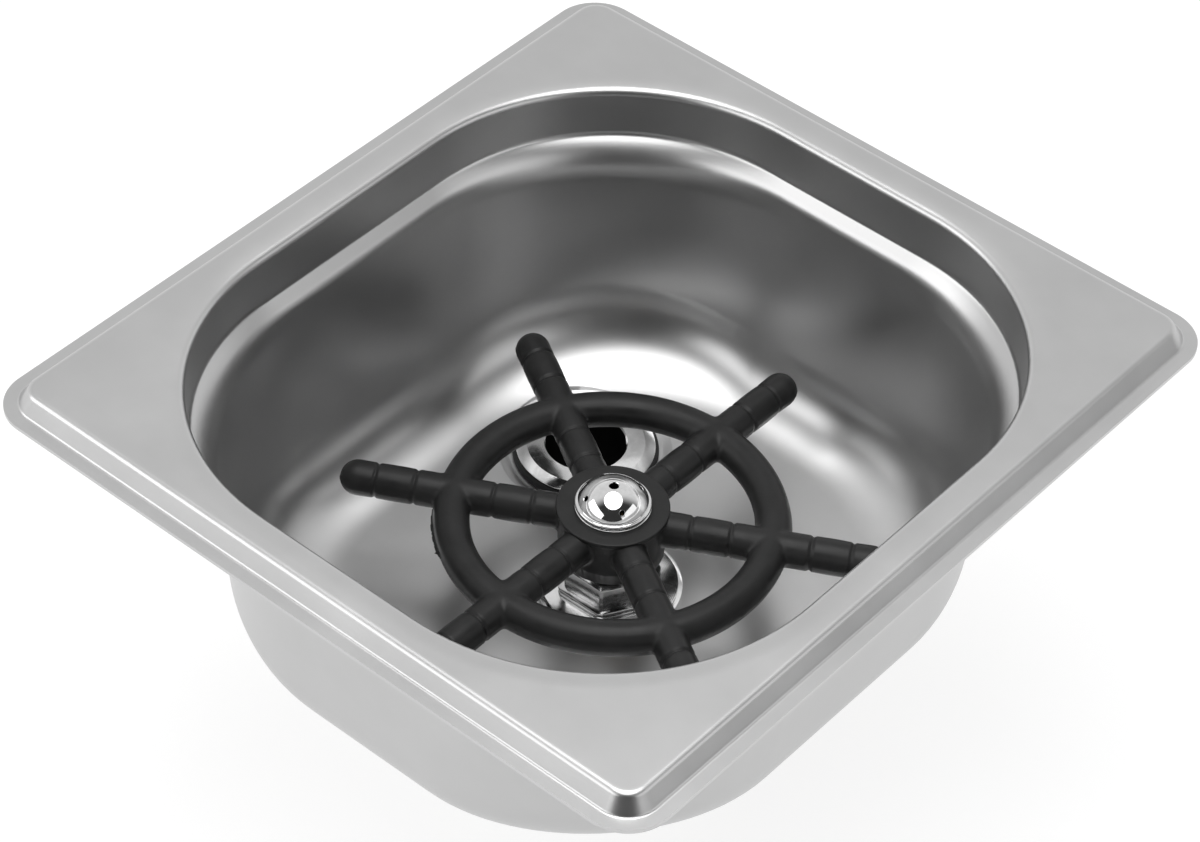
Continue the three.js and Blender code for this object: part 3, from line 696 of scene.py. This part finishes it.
def make_bowl():
    """The bowl's sheet, from the rim down. Its ledge and floor round are wider in the corners."""
    foot = rim_top - 12 * mm
    floor_edge = bowl_width / 2 - draft_across
    along = bowl_section(
        foot,
        foot_round=0.8 * mm,
        run=2.5 * mm,
        fall=2.7 * mm,
        edge_round=3.6 * mm,
        floor_edge=floor_edge,
        floor_round=15.5 * mm,
    )
    diagonal = bowl_section(
        foot + 0.6 * mm,
        foot_round=1.6 * mm,
        run=5 * mm,
        fall=3.6 * mm,
        edge_round=11.4 * mm,
        floor_edge=floor_edge - 0.8 * mm,
        floor_round=19 * mm,
    )
    reach = along[0][0] - bowl_width / 2
    bowl = rounded_plate(
        "bowl_sheet", along[0][0], bowl_length / 2 + reach, bowl_corner + reach, rim_top
    )
    extra, span = draft_across - draft_along, foot - floor_top
    for i, (before, after) in enumerate(zip(along, along[1:])):
        press([before, after])
        sunk = [max(0, foot - z) / span for _, z in (before, after)]
        half_y = bowl_length / 2 - bowl_width / 2 + after[0] + extra * sunk[0]
        wider = 1 + extra * (sunk[1] - sunk[0]) / half_y
        bpy.ops.transform.resize(value=(1, wider, 1), center_override=(0, 0, after[1]))
        mark_ring(bowl, i + 1)
    draw_corners(bowl, along, diagonal)
    return bowl


def make_rim():
    """The rim's sheet: lip, step and the edge of the flat."""
    half = basin_width / 2
    step_top = half - lip_width - step_run
    path = rounded(
        [
            (half, sheet),
            (half - lip_width, sheet, step_foot, 5),
            (step_top, rim_top, shoulder, 7),
            (step_top - 3 * shoulder, rim_top),
        ]
    )[:-1]
    path.append((path[-1][0] - holding, rim_top))
    rim = rounded_plate("rim_sheet", half, basin_length / 2, rim_corner, sheet)
    press(path)
    bpy.ops.mesh.delete(type="FACE")
    return rim


def press_dish(basin):
    """Presses the drain's dish, below as well as above, where it also bites into the round."""
    low, edge = floor_top - dish_depth, dish_radius - dish_run
    spread, bite = 0.3 * mm, 1.6 * mm
    bulge = [
        (0, low - sheet),
        (edge + spread, low - sheet),
        (dish_radius + spread, floor_top - sheet),
        (dish_radius + spread, floor_top - sheet / 2),
        (0, floor_top - sheet / 2),
    ]
    hollow = rounded(
        [
            (0, low),
            (edge, low, 3 * mm, 5),
            (dish_radius, floor_top),
            (dish_radius + bite, floor_top + bite),
            (0, floor_top + bite),
        ]
    )
    boolean(basin, turned("bulge", drain, bulge, 96), "UNION")
    boolean(basin, turned("hollow", drain, hollow, 96), "DIFFERENCE")
    edit(basin, "EDGE")
    bm = bmesh.from_edit_mesh(basin.data)
    for line in bm.edges:
        ends = [math.hypot(v.co.x - drain.x, v.co.y - drain.y) for v in line.verts]
        near = all(dish_radius - 0.05 * mm < end < dish_radius + 0.9 * mm for end in ends)
        line.select_set(near and min(v.co.z for v in line.verts) > floor_top - 0.05 * mm)
    bmesh.update_edit_mesh(basin.data)
    bpy.ops.mesh.bevel(offset=0.35 * mm, segments=3, affect="EDGES", clamp_overlap=True)
    take(basin)


def make_basin():
    """The basin, pressed from one sheet, with a dish for the drain and a hole for each fitting."""
    basin = join([make_rim(), make_bowl()])
    edit(basin, "EDGE")
    pick_open_edges(basin, rim_top)
    bpy.ops.mesh.bridge_edge_loops()
    bpy.ops.mesh.select_all(action="SELECT")
    bpy.ops.mesh.remove_doubles(threshold=0.001 * mm)
    bpy.ops.mesh.normals_make_consistent(inside=False)
    take(basin)
    flat = max(basin.data.polygons, key=lambda face: face.area)
    if flat.normal.z < 0:
        basin.data.flip_normals()
    modify(basin, "SOLIDIFY", thickness=sheet, offset=-1, use_quality_normals=True)
    press_dish(basin)
    for centre, radius in ((valve, valve_hole), (drain, drain_hole)):
        drill(basin, centre, radius, floor_top - 4 * mm, floor_top + 2 * mm, 96)
    soften(basin, 0.12 * mm, 60)
    basin.name = "pressed_basin"
    return basin


def make_arm():
    """One arm along +X: barrel-shaped stretches and a round tip."""
    sink, steps = 0.1 * mm, 8
    outline = [(0, arm_root), (arm_radius, arm_root)]
    ends = [arm_root, *(ring_radius + place * groove_pitch for place in groove_places)]
    for low, high in zip(ends, ends[1:]):
        for step in range(1, steps + 1):
            part = step / steps
            swell = 0.6 if low < ring_radius < high else 4 * part * (1 - part)
            outline.append((arm_radius - sink * (1 - swell), low + (high - low) * part))
    tip = arm_reach - arm_radius
    for step in range(steps):
        angle = step / steps * math.pi / 2
        outline.append((arm_radius * math.cos(angle), tip + arm_radius * math.sin(angle)))
    outline.append((0, outline[-1][1]))
    arm = turned("arm", origin, outline, 40)
    arm.rotation_euler = (0, math.pi / 2, 0)
    return settle(arm)


def round_the_wheel(piece):
    """A piece laid out along +X and its copies, each turned to an arm of the wheel."""
    copies = [piece] + [copy_of(piece) for _ in range(arm_count - 1)]
    for i, one in enumerate(copies):
        one.rotation_euler = (0, 0, wheel_turn + i * 2 * math.pi / arm_count)
        one.location = (valve.x, valve.y, arm_plane)
        settle(one)
    return copies


def groove_cutter(reach):
    """A ring that cuts a soft-edged groove round an arm along +X."""
    half, outside = 0.95 * mm, 4.4 * mm
    slope = [(0.95, 3.70), (0.65, 3.62), (0.42, 3.53), (0.22, 3.40), (0.08, 3.31)]
    inner = [(r * mm, -x * mm) for x, r in slope] + [(r * mm, x * mm) for x, r in slope[::-1]]
    cutter = turned("groove", origin, [(outside, half), (outside, -half), *inner], 48)
    cutter.rotation_euler = (0, math.pi / 2, 0)
    cutter.location = (reach, 0, 0)
    return settle(cutter)


def raise_flash(wheel):
    """Raises the parting line, and thin flash on parts of it: each part lies between two
    azimuths in degrees, beyond a distance from the axis, and is raised by a height."""
    line_drop, line_width, hub_reach = 0.1 * mm, 0.22 * mm, 12 * mm
    edit(wheel)

    def on_the_parting_line(place, normal):
        away = math.hypot(place.x - valve.x, place.y - valve.y)
        level = abs(place.z - arm_plane + line_drop) < line_width
        return level and abs(normal.z) < 0.3 and away > hub_reach

    def on_the_flash(place, normal, low, high, near):
        x, y = place.x - valve.x, place.y - valve.y
        around = low < math.degrees(math.atan2(y, x)) < high
        return around and math.hypot(x, y) > near and on_the_parting_line(place, normal)

    pick_points(wheel, on_the_parting_line)
    bpy.ops.transform.shrink_fatten(value=0.09 * mm)
    outside = ring_radius + 3.4 * mm
    flashes = [
        (-142, -119.5, outside, 0.13 * mm),
        (-139, -120.5, outside, 0.13 * mm),
        (-135, -121, outside, 0.13 * mm),
        (-122.8, -121.4, outside, 0.4 * mm),
        (146, 148, arm_reach - 0.2 * mm, 0.25 * mm),
    ]
    for *where, height in flashes:
        pick_points(wheel, lambda place, normal: on_the_flash(place, normal, *where))
        bpy.ops.transform.shrink_fatten(value=height)


def make_wheel():
    """The wheel: arms, ring and hub in one moulding, with a parting line, a little flash at the
    ring's left and on one tip, and grooved arms."""
    deselect()
    bpy.ops.mesh.primitive_torus_add(
        major_radius=ring_radius,
        minor_radius=arm_radius,
        major_segments=160,
        minor_segments=40,
        location=(valve.x, valve.y, arm_plane),
    )
    wheel = settle(bpy.context.object, "wheel")
    for arm in round_the_wheel(make_arm()):
        boolean(wheel, arm, "UNION")
    core, low, high = 10.9 * mm, -46.5 * mm, -37 * mm
    barrel = [(0, low), (core, low), (core, high), (0, high)]
    boolean(wheel, turned("barrel", valve, barrel, 96), "UNION")
    modify(wheel, "REMESH", mode="VOXEL", voxel_size=0.44 * mm)
    modify(wheel, "SMOOTH", factor=0.5, iterations=4)
    raise_flash(wheel)
    tools = [groove_cutter(ring_radius + place * groove_pitch) for place in groove_places]
    boolean(wheel, join(round_the_wheel(join(tools))), "DIFFERENCE")

    hub = rounded(
        [
            (stem_radius, cup_roof),
            (cup_radius, cup_roof),
            (cup_radius, cup_mouth),
            (10.8 * mm, cup_mouth, 0.2 * mm, 3),
            (11.015 * mm, -37.7 * mm, 0.2 * mm, 3),
            (hub_flange, hub_flange_foot, 0.1 * mm, 2),
            (hub_flange, hub_top, 0.3 * mm, 4),
            (seat_radius, hub_top, 0.15 * mm, 2),
            (seat_radius, seat_floor),
            (stem_radius, seat_floor),
        ]
    )
    below, above = -50 * mm, -30 * mm
    inside = [
        (0, below),
        (cup_radius, below),
        (cup_radius, cup_roof),
        (stem_radius, cup_roof),
        (stem_radius, seat_floor),
        (seat_radius, seat_floor),
        (seat_radius, above),
        (0, above),
    ]
    boolean(wheel, turned("inside", valve, inside, 128), "DIFFERENCE")
    boolean(wheel, turned("hub", valve, hub, 128), "UNION")
    wheel.name = "moulded_wheel"
    return wheel


def dome_points(inset, steps):
    """Points of the dome from its foot up to the axis, a wall's thickness in or none."""
    curve, edge = dome_curve - inset, max(dome_edge - inset, 0)
    tilt = math.asin((dome_radius - inset - edge) / (curve - edge))
    middle = dome_top - dome_curve
    edge_reach, edge_height = (curve - edge) * math.sin(tilt), (curve - edge) * math.cos(tilt)
    points, edge_steps = [], 6
    if edge:
        for i in range(edge_steps):
            angle = math.pi / 2 + (tilt - math.pi / 2) * i / edge_steps
            reach = edge_reach + edge * math.sin(angle)
            points.append((reach, middle + edge_height + edge * math.cos(angle)))
    for i in range(steps):
        angle = tilt * (1 - i / steps)
        points.append((curve * math.sin(angle), middle + curve * math.cos(angle)))
    return [*points, (0, points[-1][1])]


def jet_tool(radius):
    """A drill with a countersink, its point down and its rim at height zero."""
    sink, rise = 0.22 * mm, 0.3 * mm
    outline = [
        (0, -jet_depth),
        (radius, -jet_depth),
        (radius, -sink),
        (radius + sink + rise, rise),
        (0, rise),
    ]
    return turned("jet", origin, outline, 32)


def make_spray_head():
    """The spray head: a hollow dome over a bead and a flange, on a skirt, with drilled jets."""
    bead_end, steps = math.acos((dome_radius - bead_circle) / bead_radius), 14
    bead = []
    for i in range(steps + 1):
        angle = -math.pi / 2 + i / steps * (bead_end + math.pi / 2)
        reach = bead_circle + bead_radius * math.cos(angle)
        bead.append((reach, bead_middle + bead_radius * math.sin(angle)))
    skirt, skirt_foot = 6 * mm, -41 * mm
    foot = rounded(
        [
            (0, skirt_foot),
            (skirt, skirt_foot),
            (skirt, hub_top),
            (flange_radius, hub_top, 0.08 * mm, 2),
            (flange_radius, flange_top, 0.14 * mm, 4),
            (bead_circle, flange_top),
        ]
    )
    outline = foot[:-1] + bead + dome_points(0, 24)
    head = turned("spray_dome", valve, outline, 128)
    cavity = [(0, seat_floor), (stem_radius, seat_floor), (stem_radius, hub_top)]
    cavity += dome_points(dome_wall, 10)
    boolean(head, turned("cavity", valve, cavity, 64), "DIFFERENCE")
    top_jet = jet_tool(jet_radius)
    top_jet.location = (valve.x, valve.y, dome_top)
    boolean(head, settle(top_jet), "DIFFERENCE")
    lean = math.asin(side_jet_circle / dome_curve)
    height = dome_top - dome_curve * (1 - math.cos(lean))
    for i in range(4):
        turn = math.radians(side_jet_azimuth + 90 * i)
        jet = jet_tool(side_jet_radius)
        jet.rotation_euler = (0, lean, turn)
        jet.location = (
            valve.x + side_jet_circle * math.cos(turn),
            valve.y + side_jet_circle * math.sin(turn),
            height,
        )
        boolean(head, settle(jet), "DIFFERENCE")
    return soften(head, 0.04 * mm, 40)


def make_bonnet():
    """The bonnet, with a plug that reaches down into the body, bored for the stem."""
    bonnet = prism(
        "hexagon_bonnet",
        valve,
        bonnet_flats,
        trim=0.4 * mm,
        low=bonnet_foot,
        high=bonnet_top,
        top_run=1.3 * mm,
        top_drop=1.2 * mm,
    )
    soften(bonnet, 0.1 * mm, 20)
    plug_radius, low, high = 6.25 * mm, -66 * mm, -56.5 * mm
    plug = [(0, low), (plug_radius, low), (plug_radius, high), (0, high)]
    boolean(bonnet, turned("plug", valve, plug, 64), "UNION")
    return drill(bonnet, valve, 4.1 * mm, -70 * mm, -48 * mm)


def threaded_bar(name, centre, crest, root, pitch, low, high, thread_high):
    """A bar with a real thread and a bevelled end."""
    bar = turned(name, centre, [(0, low), (root, low), (root, high), (0, high)], 96)
    ridge = screw_thread(centre, root, crest, pitch, low, thread_high)
    boolean(bar, ridge, "UNION")
    end = [
        (0, low),
        (crest - 0.8 * mm, low),
        (crest, low + 0.8 * mm),
        (crest, thread_high),
        (crest + 0.001 * mm, high),
        (0, high),
    ]
    return boolean(bar, turned("envelope", centre, end, 96), "INTERSECT")


def make_valve_body():
    """The body: its head and threaded shank, bored from both ends, with the poppet's seat."""
    head = prism(
        "valve_shank", valve, head_flats, trim=0.7 * mm, low=head_foot, high=bonnet_foot
    )
    soften(head, 0.1 * mm, 20)
    bar = threaded_bar(
        "shank",
        valve,
        shank_crest,
        shank_root,
        shank_pitch,
        low=shank_end,
        high=-57.6 * mm,
        thread_high=-59 * mm,
    )
    boolean(head, bar, "UNION")
    recess, recess_foot, chamber_foot = 7.25 * mm, -57.95 * mm, -72 * mm
    upper = [
        (0, chamber_foot),
        (chamber_radius, chamber_foot),
        (chamber_radius, recess_foot),
        (recess, recess_foot),
        (recess, -55 * mm),
        (0, -55 * mm),
    ]
    seat, seat_edge, inlet_top = 4.4 * mm, 5 * mm, -74 * mm
    lower = [
        (0, -98 * mm),
        (chamber_radius, -98 * mm),
        (chamber_radius, inlet_top),
        (seat_edge, inlet_top),
        (seat_edge, -74.4 * mm),
        (seat, -74.4 * mm),
        (seat, -71 * mm),
        (0, -71 * mm),
    ]
    boolean(head, turned("upper_bore", valve, upper, 64), "DIFFERENCE")
    boolean(head, turned("lower_bore", valve, lower, 64), "DIFFERENCE")
    return head


def make_disc():
    """The polished disc round the body's head, with a groove in its underside for a gasket."""
    groove_inner, groove_outer, groove_top = 10.4 * mm, 12.6 * mm, -58.9 * mm
    outline = rounded(
        [
            (disc_bore, floor_top),
            (groove_inner, floor_top),
            (groove_inner, groove_top),
            (groove_outer, groove_top),
            (groove_outer, floor_top),
            (disc_radius, floor_top, 0.1 * mm, 2),
            (disc_radius, -58.8 * mm, 0.15 * mm, 3),
            (14 * mm, disc_top, 0.2 * mm, 3),
            (disc_bore, disc_top),
        ]
    )
    return turned("polished_disc", valve, outline, 128)


def make_drain():
    """The drain: a bevelled flange on a threaded tail, with one bore through both."""
    under, top, end = drain_flange_foot, drain_flange_top, tail_end
    bar = threaded_bar(
        "drain_tail",
        drain,
        tail_crest,
        tail_root,
        tail_pitch,
        low=end,
        high=top,
        thread_high=-60 * mm,
    )
    flange = rounded(
        [
            (0, under),
            (drain_flange, under, 0.1 * mm, 2),
            (drain_flange, top - 0.9 * mm, 0.12 * mm, 3),
            (12.55 * mm, top, 0.1 * mm, 2),
            (0, top),
        ]
    )
    boolean(bar, turned("flange", drain, flange, 128), "UNION")
    countersink = 8.85 * mm
    bore = [
        (0, end - mm),
        (drain_bore, end - mm),
        (drain_bore, top - 0.3 * mm),
        (countersink, top),
        (countersink, top + mm),
        (0, top + mm),
    ]
    boolean(bar, turned("bore", drain, bore, 96), "DIFFERENCE")
    bar.name = "drain_flange_and_tail"
    return bar


def ring_piece(name, centre, inner, outer, low, high, edge):
    """A flat ring with rounded edges."""
    corners = [(inner, low), (outer, low), (outer, high), (inner, high)]
    return turned(name, centre, rounded([(*corner, edge, 3) for corner in corners]), 96)


def make_nut(name, centre, flats, hole, low, high):
    """A hexagon nut, its corners turned off at both faces."""
    nut = prism(name, centre, flats, 0, low, high)
    corner = flats / 2 / math.cos(math.pi / 6)
    face = flats / 2 - 0.1 * mm
    drop = (corner - face) * math.tan(math.radians(30))
    lens = [
        (0, low),
        (face, low),
        (corner, low + drop),
        (corner, high - drop),
        (face, high),
        (0, high),
    ]
    boolean(nut, turned("lens", centre, lens, 96), "INTERSECT")
    drill(nut, centre, hole, low - mm, high + mm, 96)
    return soften(nut, 0.12 * mm, 35)


def make_spring():
    """The return spring: a wire circle wound up the screw, its ends ground flat."""
    wire, middle, turns = 0.4 * mm, 4.1 * mm, 7
    low, high = -90.35 * mm, -77.95 * mm
    pitch = (high - low - wire) / turns
    deselect()
    bpy.ops.mesh.primitive_circle_add(
        vertices=12,
        radius=wire,
        location=(middle, 0, 0),
        rotation=(math.pi / 2, 0, 0),
    )
    spring = bpy.context.object
    bpy.ops.object.transform_apply(location=True, rotation=True, scale=True)
    modify(
        spring,
        "SCREW",
        axis="Z",
        screw_offset=pitch,
        iterations=turns,
        steps=32,
        render_steps=32,
        use_merge_vertices=False,
    )
    edit(spring, action="SELECT")
    bpy.ops.mesh.remove_doubles(threshold=0.0001 * mm)
    bpy.ops.mesh.fill_holes(sides=0)
    take(spring)
    spring.location = (valve.x, valve.y, low + wire / 2)
    settle(spring, "coiled_spring")
    edit(spring)
    for height, upper in ((low, False), (high, True)):
        bpy.ops.mesh.select_all(action="SELECT")
        bpy.ops.mesh.bisect(
            plane_co=(0, 0, height),
            plane_no=(0, 0, 1),
            use_fill=True,
            clear_inner=not upper,
            clear_outer=upper,
            threshold=0.0001 * mm,
        )
    return settle(spring)


steel = pressed_steel()
plastic = moulded_plastic()
chrome = chrome_plate()
spray_chrome = dome_chrome()
drain_chrome = turned_chrome("turned_chrome_drain", drain, drain_bore)
disc_chrome = turned_chrome("turned_chrome_disc", valve, disc_bore)
black_rubber = rubber()
brass = turned_brass()
zinc = zinc_plate()
spring_steel = spring_wire()

bands = ("basin_rim", "basin_ledge", "basin_wall", "basin_floor")
basin = dress(make_basin(), "housing", "pressed_steel", steel, *bands, degrees=50)
modify(basin, "WEIGHTED_NORMAL", keep_sharp=True, weight=90)
dress(make_wheel(), "plunger", "black_plastic", plastic, "spider_wheel", degrees=40)
dress(make_spray_head(), "plunger", "chrome", spray_chrome, "spray_head", degrees=35)
dress(make_bonnet(), "housing", "chrome", chrome, "valve_bonnet")
dress(make_valve_body(), "housing", "chrome", chrome, "valve_body")
dress(make_disc(), "housing", "chrome", disc_chrome, "valve_disc")
dress(make_drain(), "housing", "chrome", drain_chrome, "drain_body")
spring = dress(make_spring(), "housing", "spring_steel", spring_steel, "return_spring")
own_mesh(spring)

# Piece, CAD node, slot, centre, then inner and outer radius, low, high and edge round in mm
rings = [
    ("drain_seal_ring", "drain_top_gasket", "black_rubber", drain, 10.63, 15.5, -60.3, -58.8, 0.3),
    ("drain_under_gasket", "drain_gasket", "black_rubber", drain, 10.63, 16.2, -63.1, -61.1, 0.4),
    ("drain_under_washer", "drain_washer", "zinc_steel", drain, 10.63, 17, -64.1, -63.1, 0.15),
    ("valve_under_gasket", "valve_gasket", "black_rubber", valve, 8.48, 14, -62.6, -60.6, 0.4),
    ("valve_under_washer", "valve_washer", "zinc_steel", valve, 8.48, 14.5, -63.6, -62.6, 0.15),
]
finishes = {"black_rubber": black_rubber, "zinc_steel": zinc}
for name, node, slot, centre, inner, outer, low, high, edge in rings:
    piece = ring_piece(name, centre, inner * mm, outer * mm, low * mm, high * mm, edge * mm)
    dress(piece, "housing", slot, finishes[slot], node)

# Piece, CAD node, centre, then width across flats, hole radius, low and high in mm
nuts = [
    ("valve_back_nut", "valve_locknut", valve, 24, 8.48, -69.6, -63.6),
    ("drain_back_nut", "drain_locknut", drain, 30, 10.63, -71.1, -64.1),
]
for name, node, centre, flats, hole, low, high in nuts:
    nut = make_nut(name, centre, flats * mm, hole * mm, low * mm, high * mm)
    dress(nut, "housing", "brass", brass, node)

# CAD nodes that show as they are, and their finishes
kept_nodes = {
    "plunger_stem": brass,
    "poppet_plate": brass,
    "spring_retainer": brass,
    "poppet_nut": zinc,
    "spray_head_gasket": black_rubber,
    "stem_oring_upper": black_rubber,
    "stem_oring_lower": black_rubber,
    "bonnet_oring": black_rubber,
    "disc_gasket": black_rubber,
    "poppet_seal": black_rubber,
}
for node, material in kept_nodes.items():
    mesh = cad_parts[node].data
    mesh.materials.clear()
    mesh.materials.append(material)


def make_camera():
    """The photograph's viewpoint: long lens, from the front right, well above the rim. It was
    solved on the rim's four corners, taken halfway up the lip, in millimetres and pixels."""
    focal_length, photo_width = 3775.998, 1200
    turn = Vector((2.19899511, 0.836383884, -0.317488126))
    shift = Vector((1.90278258, -9.71873676, 726.758728))
    lip_middle = 0.4
    camera = bpy.data.cameras.new("camera")
    camera.sensor_width = 36
    camera.lens = focal_length / photo_width * 36
    camera.clip_start, camera.clip_end = 0.05, 50
    stand = bpy.data.objects.new("camera", camera)
    bpy.context.scene.collection.objects.link(stand)
    to_world = Matrix.Rotation(turn.length, 3, turn.normalized()).transposed()
    place = -(to_world @ shift)
    place.z += lip_middle
    flip = Matrix(((1, 0, 0), (0, -1, 0), (0, 0, -1)))
    stand.matrix_world = Matrix.Translation(place * mm) @ (to_world @ flip).to_4x4()
    bpy.context.scene.camera = stand


def lamp(name, shape, width, height, azimuth, elevation, level):
    """A soft box a metre off that faces the basin from an azimuth beside the camera's. Its level
    is the brightness at which it shows in a mirror."""
    light = bpy.data.lights.new(name, "AREA")
    light.shape = shape
    light.size, light.size_y = width, height
    area = width * height * (math.pi / 4 if shape == "ELLIPSE" else 1)
    light.energy = level * math.pi * area
    stand = bpy.data.objects.new(name, light)
    bpy.context.scene.collection.objects.link(stand)
    around, up = math.radians(camera_azimuth + azimuth), math.radians(elevation)
    away = Vector(
        (math.sin(around) * math.cos(up), -math.cos(around) * math.cos(up), math.sin(up))
    )
    right = Vector((math.cos(around), math.sin(around), 0))
    turn = Matrix((right, away.cross(right), away)).transposed().to_4x4()
    stand.matrix_world = Matrix.Translation(away) @ turn
    stand.visible_camera = False


def make_floor(ground):
    """A white floor that keeps the shadow: matte, with a glow for the rays that see it."""
    deselect()
    bpy.ops.mesh.primitive_plane_add(size=24, location=(0, 0, ground))
    floor = bpy.context.object
    floor.name = "floor"
    material = bpy.data.materials.new("floor")
    nodes = Nodes(material)
    paint, glow_level = 0.3, 0.78
    matte = nodes.node("ShaderNodeBsdfDiffuse", {0: (*grey(paint), 1)})
    level = nodes.maths(nodes.background_rays(), glow_level, "MULTIPLY")
    glow = nodes.node("ShaderNodeEmission", {1: level})
    both = nodes.node("ShaderNodeAddShader", {0: matte.outputs[0], 1: glow.outputs[0]})
    nodes.node("ShaderNodeOutputMaterial", {0: both.outputs[0]})
    floor.data.materials.append(material)


def make_room():
    """A pale room that is dark on the camera's side and a little darker above. The camera itself
    sees it white."""
    world = bpy.data.worlds.new("room")
    bpy.context.scene.world = world
    nodes = Nodes(world)
    dark_side, above, for_matte = 0.05, 0.76, 0.9
    way = nodes.node("ShaderNodeTexCoord").outputs["Generated"]
    around = math.radians(camera_azimuth + 9)
    inputs = {0: way, 1: (math.sin(around), -math.cos(around), 0)}
    across = nodes.node("ShaderNodeVectorMath", inputs, operation="DOT_PRODUCT")
    fade = nodes.between(across.outputs["Value"], 1, dark_side, -0.3, 0.25, "SMOOTHSTEP")
    up = nodes.node("ShaderNodeSeparateXYZ", {0: way}).outputs["Z"]
    rise = nodes.between(up, 1, above, 0.25, 0.6, "SMOOTHSTEP")
    level = nodes.maths(fade, rise, "MULTIPLY")
    white = nodes.maths(nodes.background_rays(), for_matte, "MAXIMUM")
    room = nodes.maths(level, white, "MULTIPLY")
    rays = nodes.node("ShaderNodeLightPath")
    seen = nodes.maths(room, rays.outputs["Is Camera Ray"], "MAXIMUM")
    sky = nodes.node("ShaderNodeBackground", {"Color": (1, 1, 1, 1), "Strength": seen})
    nodes.node("ShaderNodeOutputWorld", {0: sky.outputs[0]})


make_camera()
make_floor(cad_box[0].z - 0.05 * mm)
make_room()
# Name, shape, width and height in metres, azimuth and elevation in degrees, level
lamp("overhead", "ELLIPSE", 0.88, 1.02, 0, 86, 3.0)
lamp("left", "RECTANGLE", 1.1, 0.6, -68, 28, 2.0)
lamp("right", "RECTANGLE", 1.0, 0.6, 62, 26, 1.1)

bpy.context.scene.view_settings.view_transform = "Standard"
deselect()
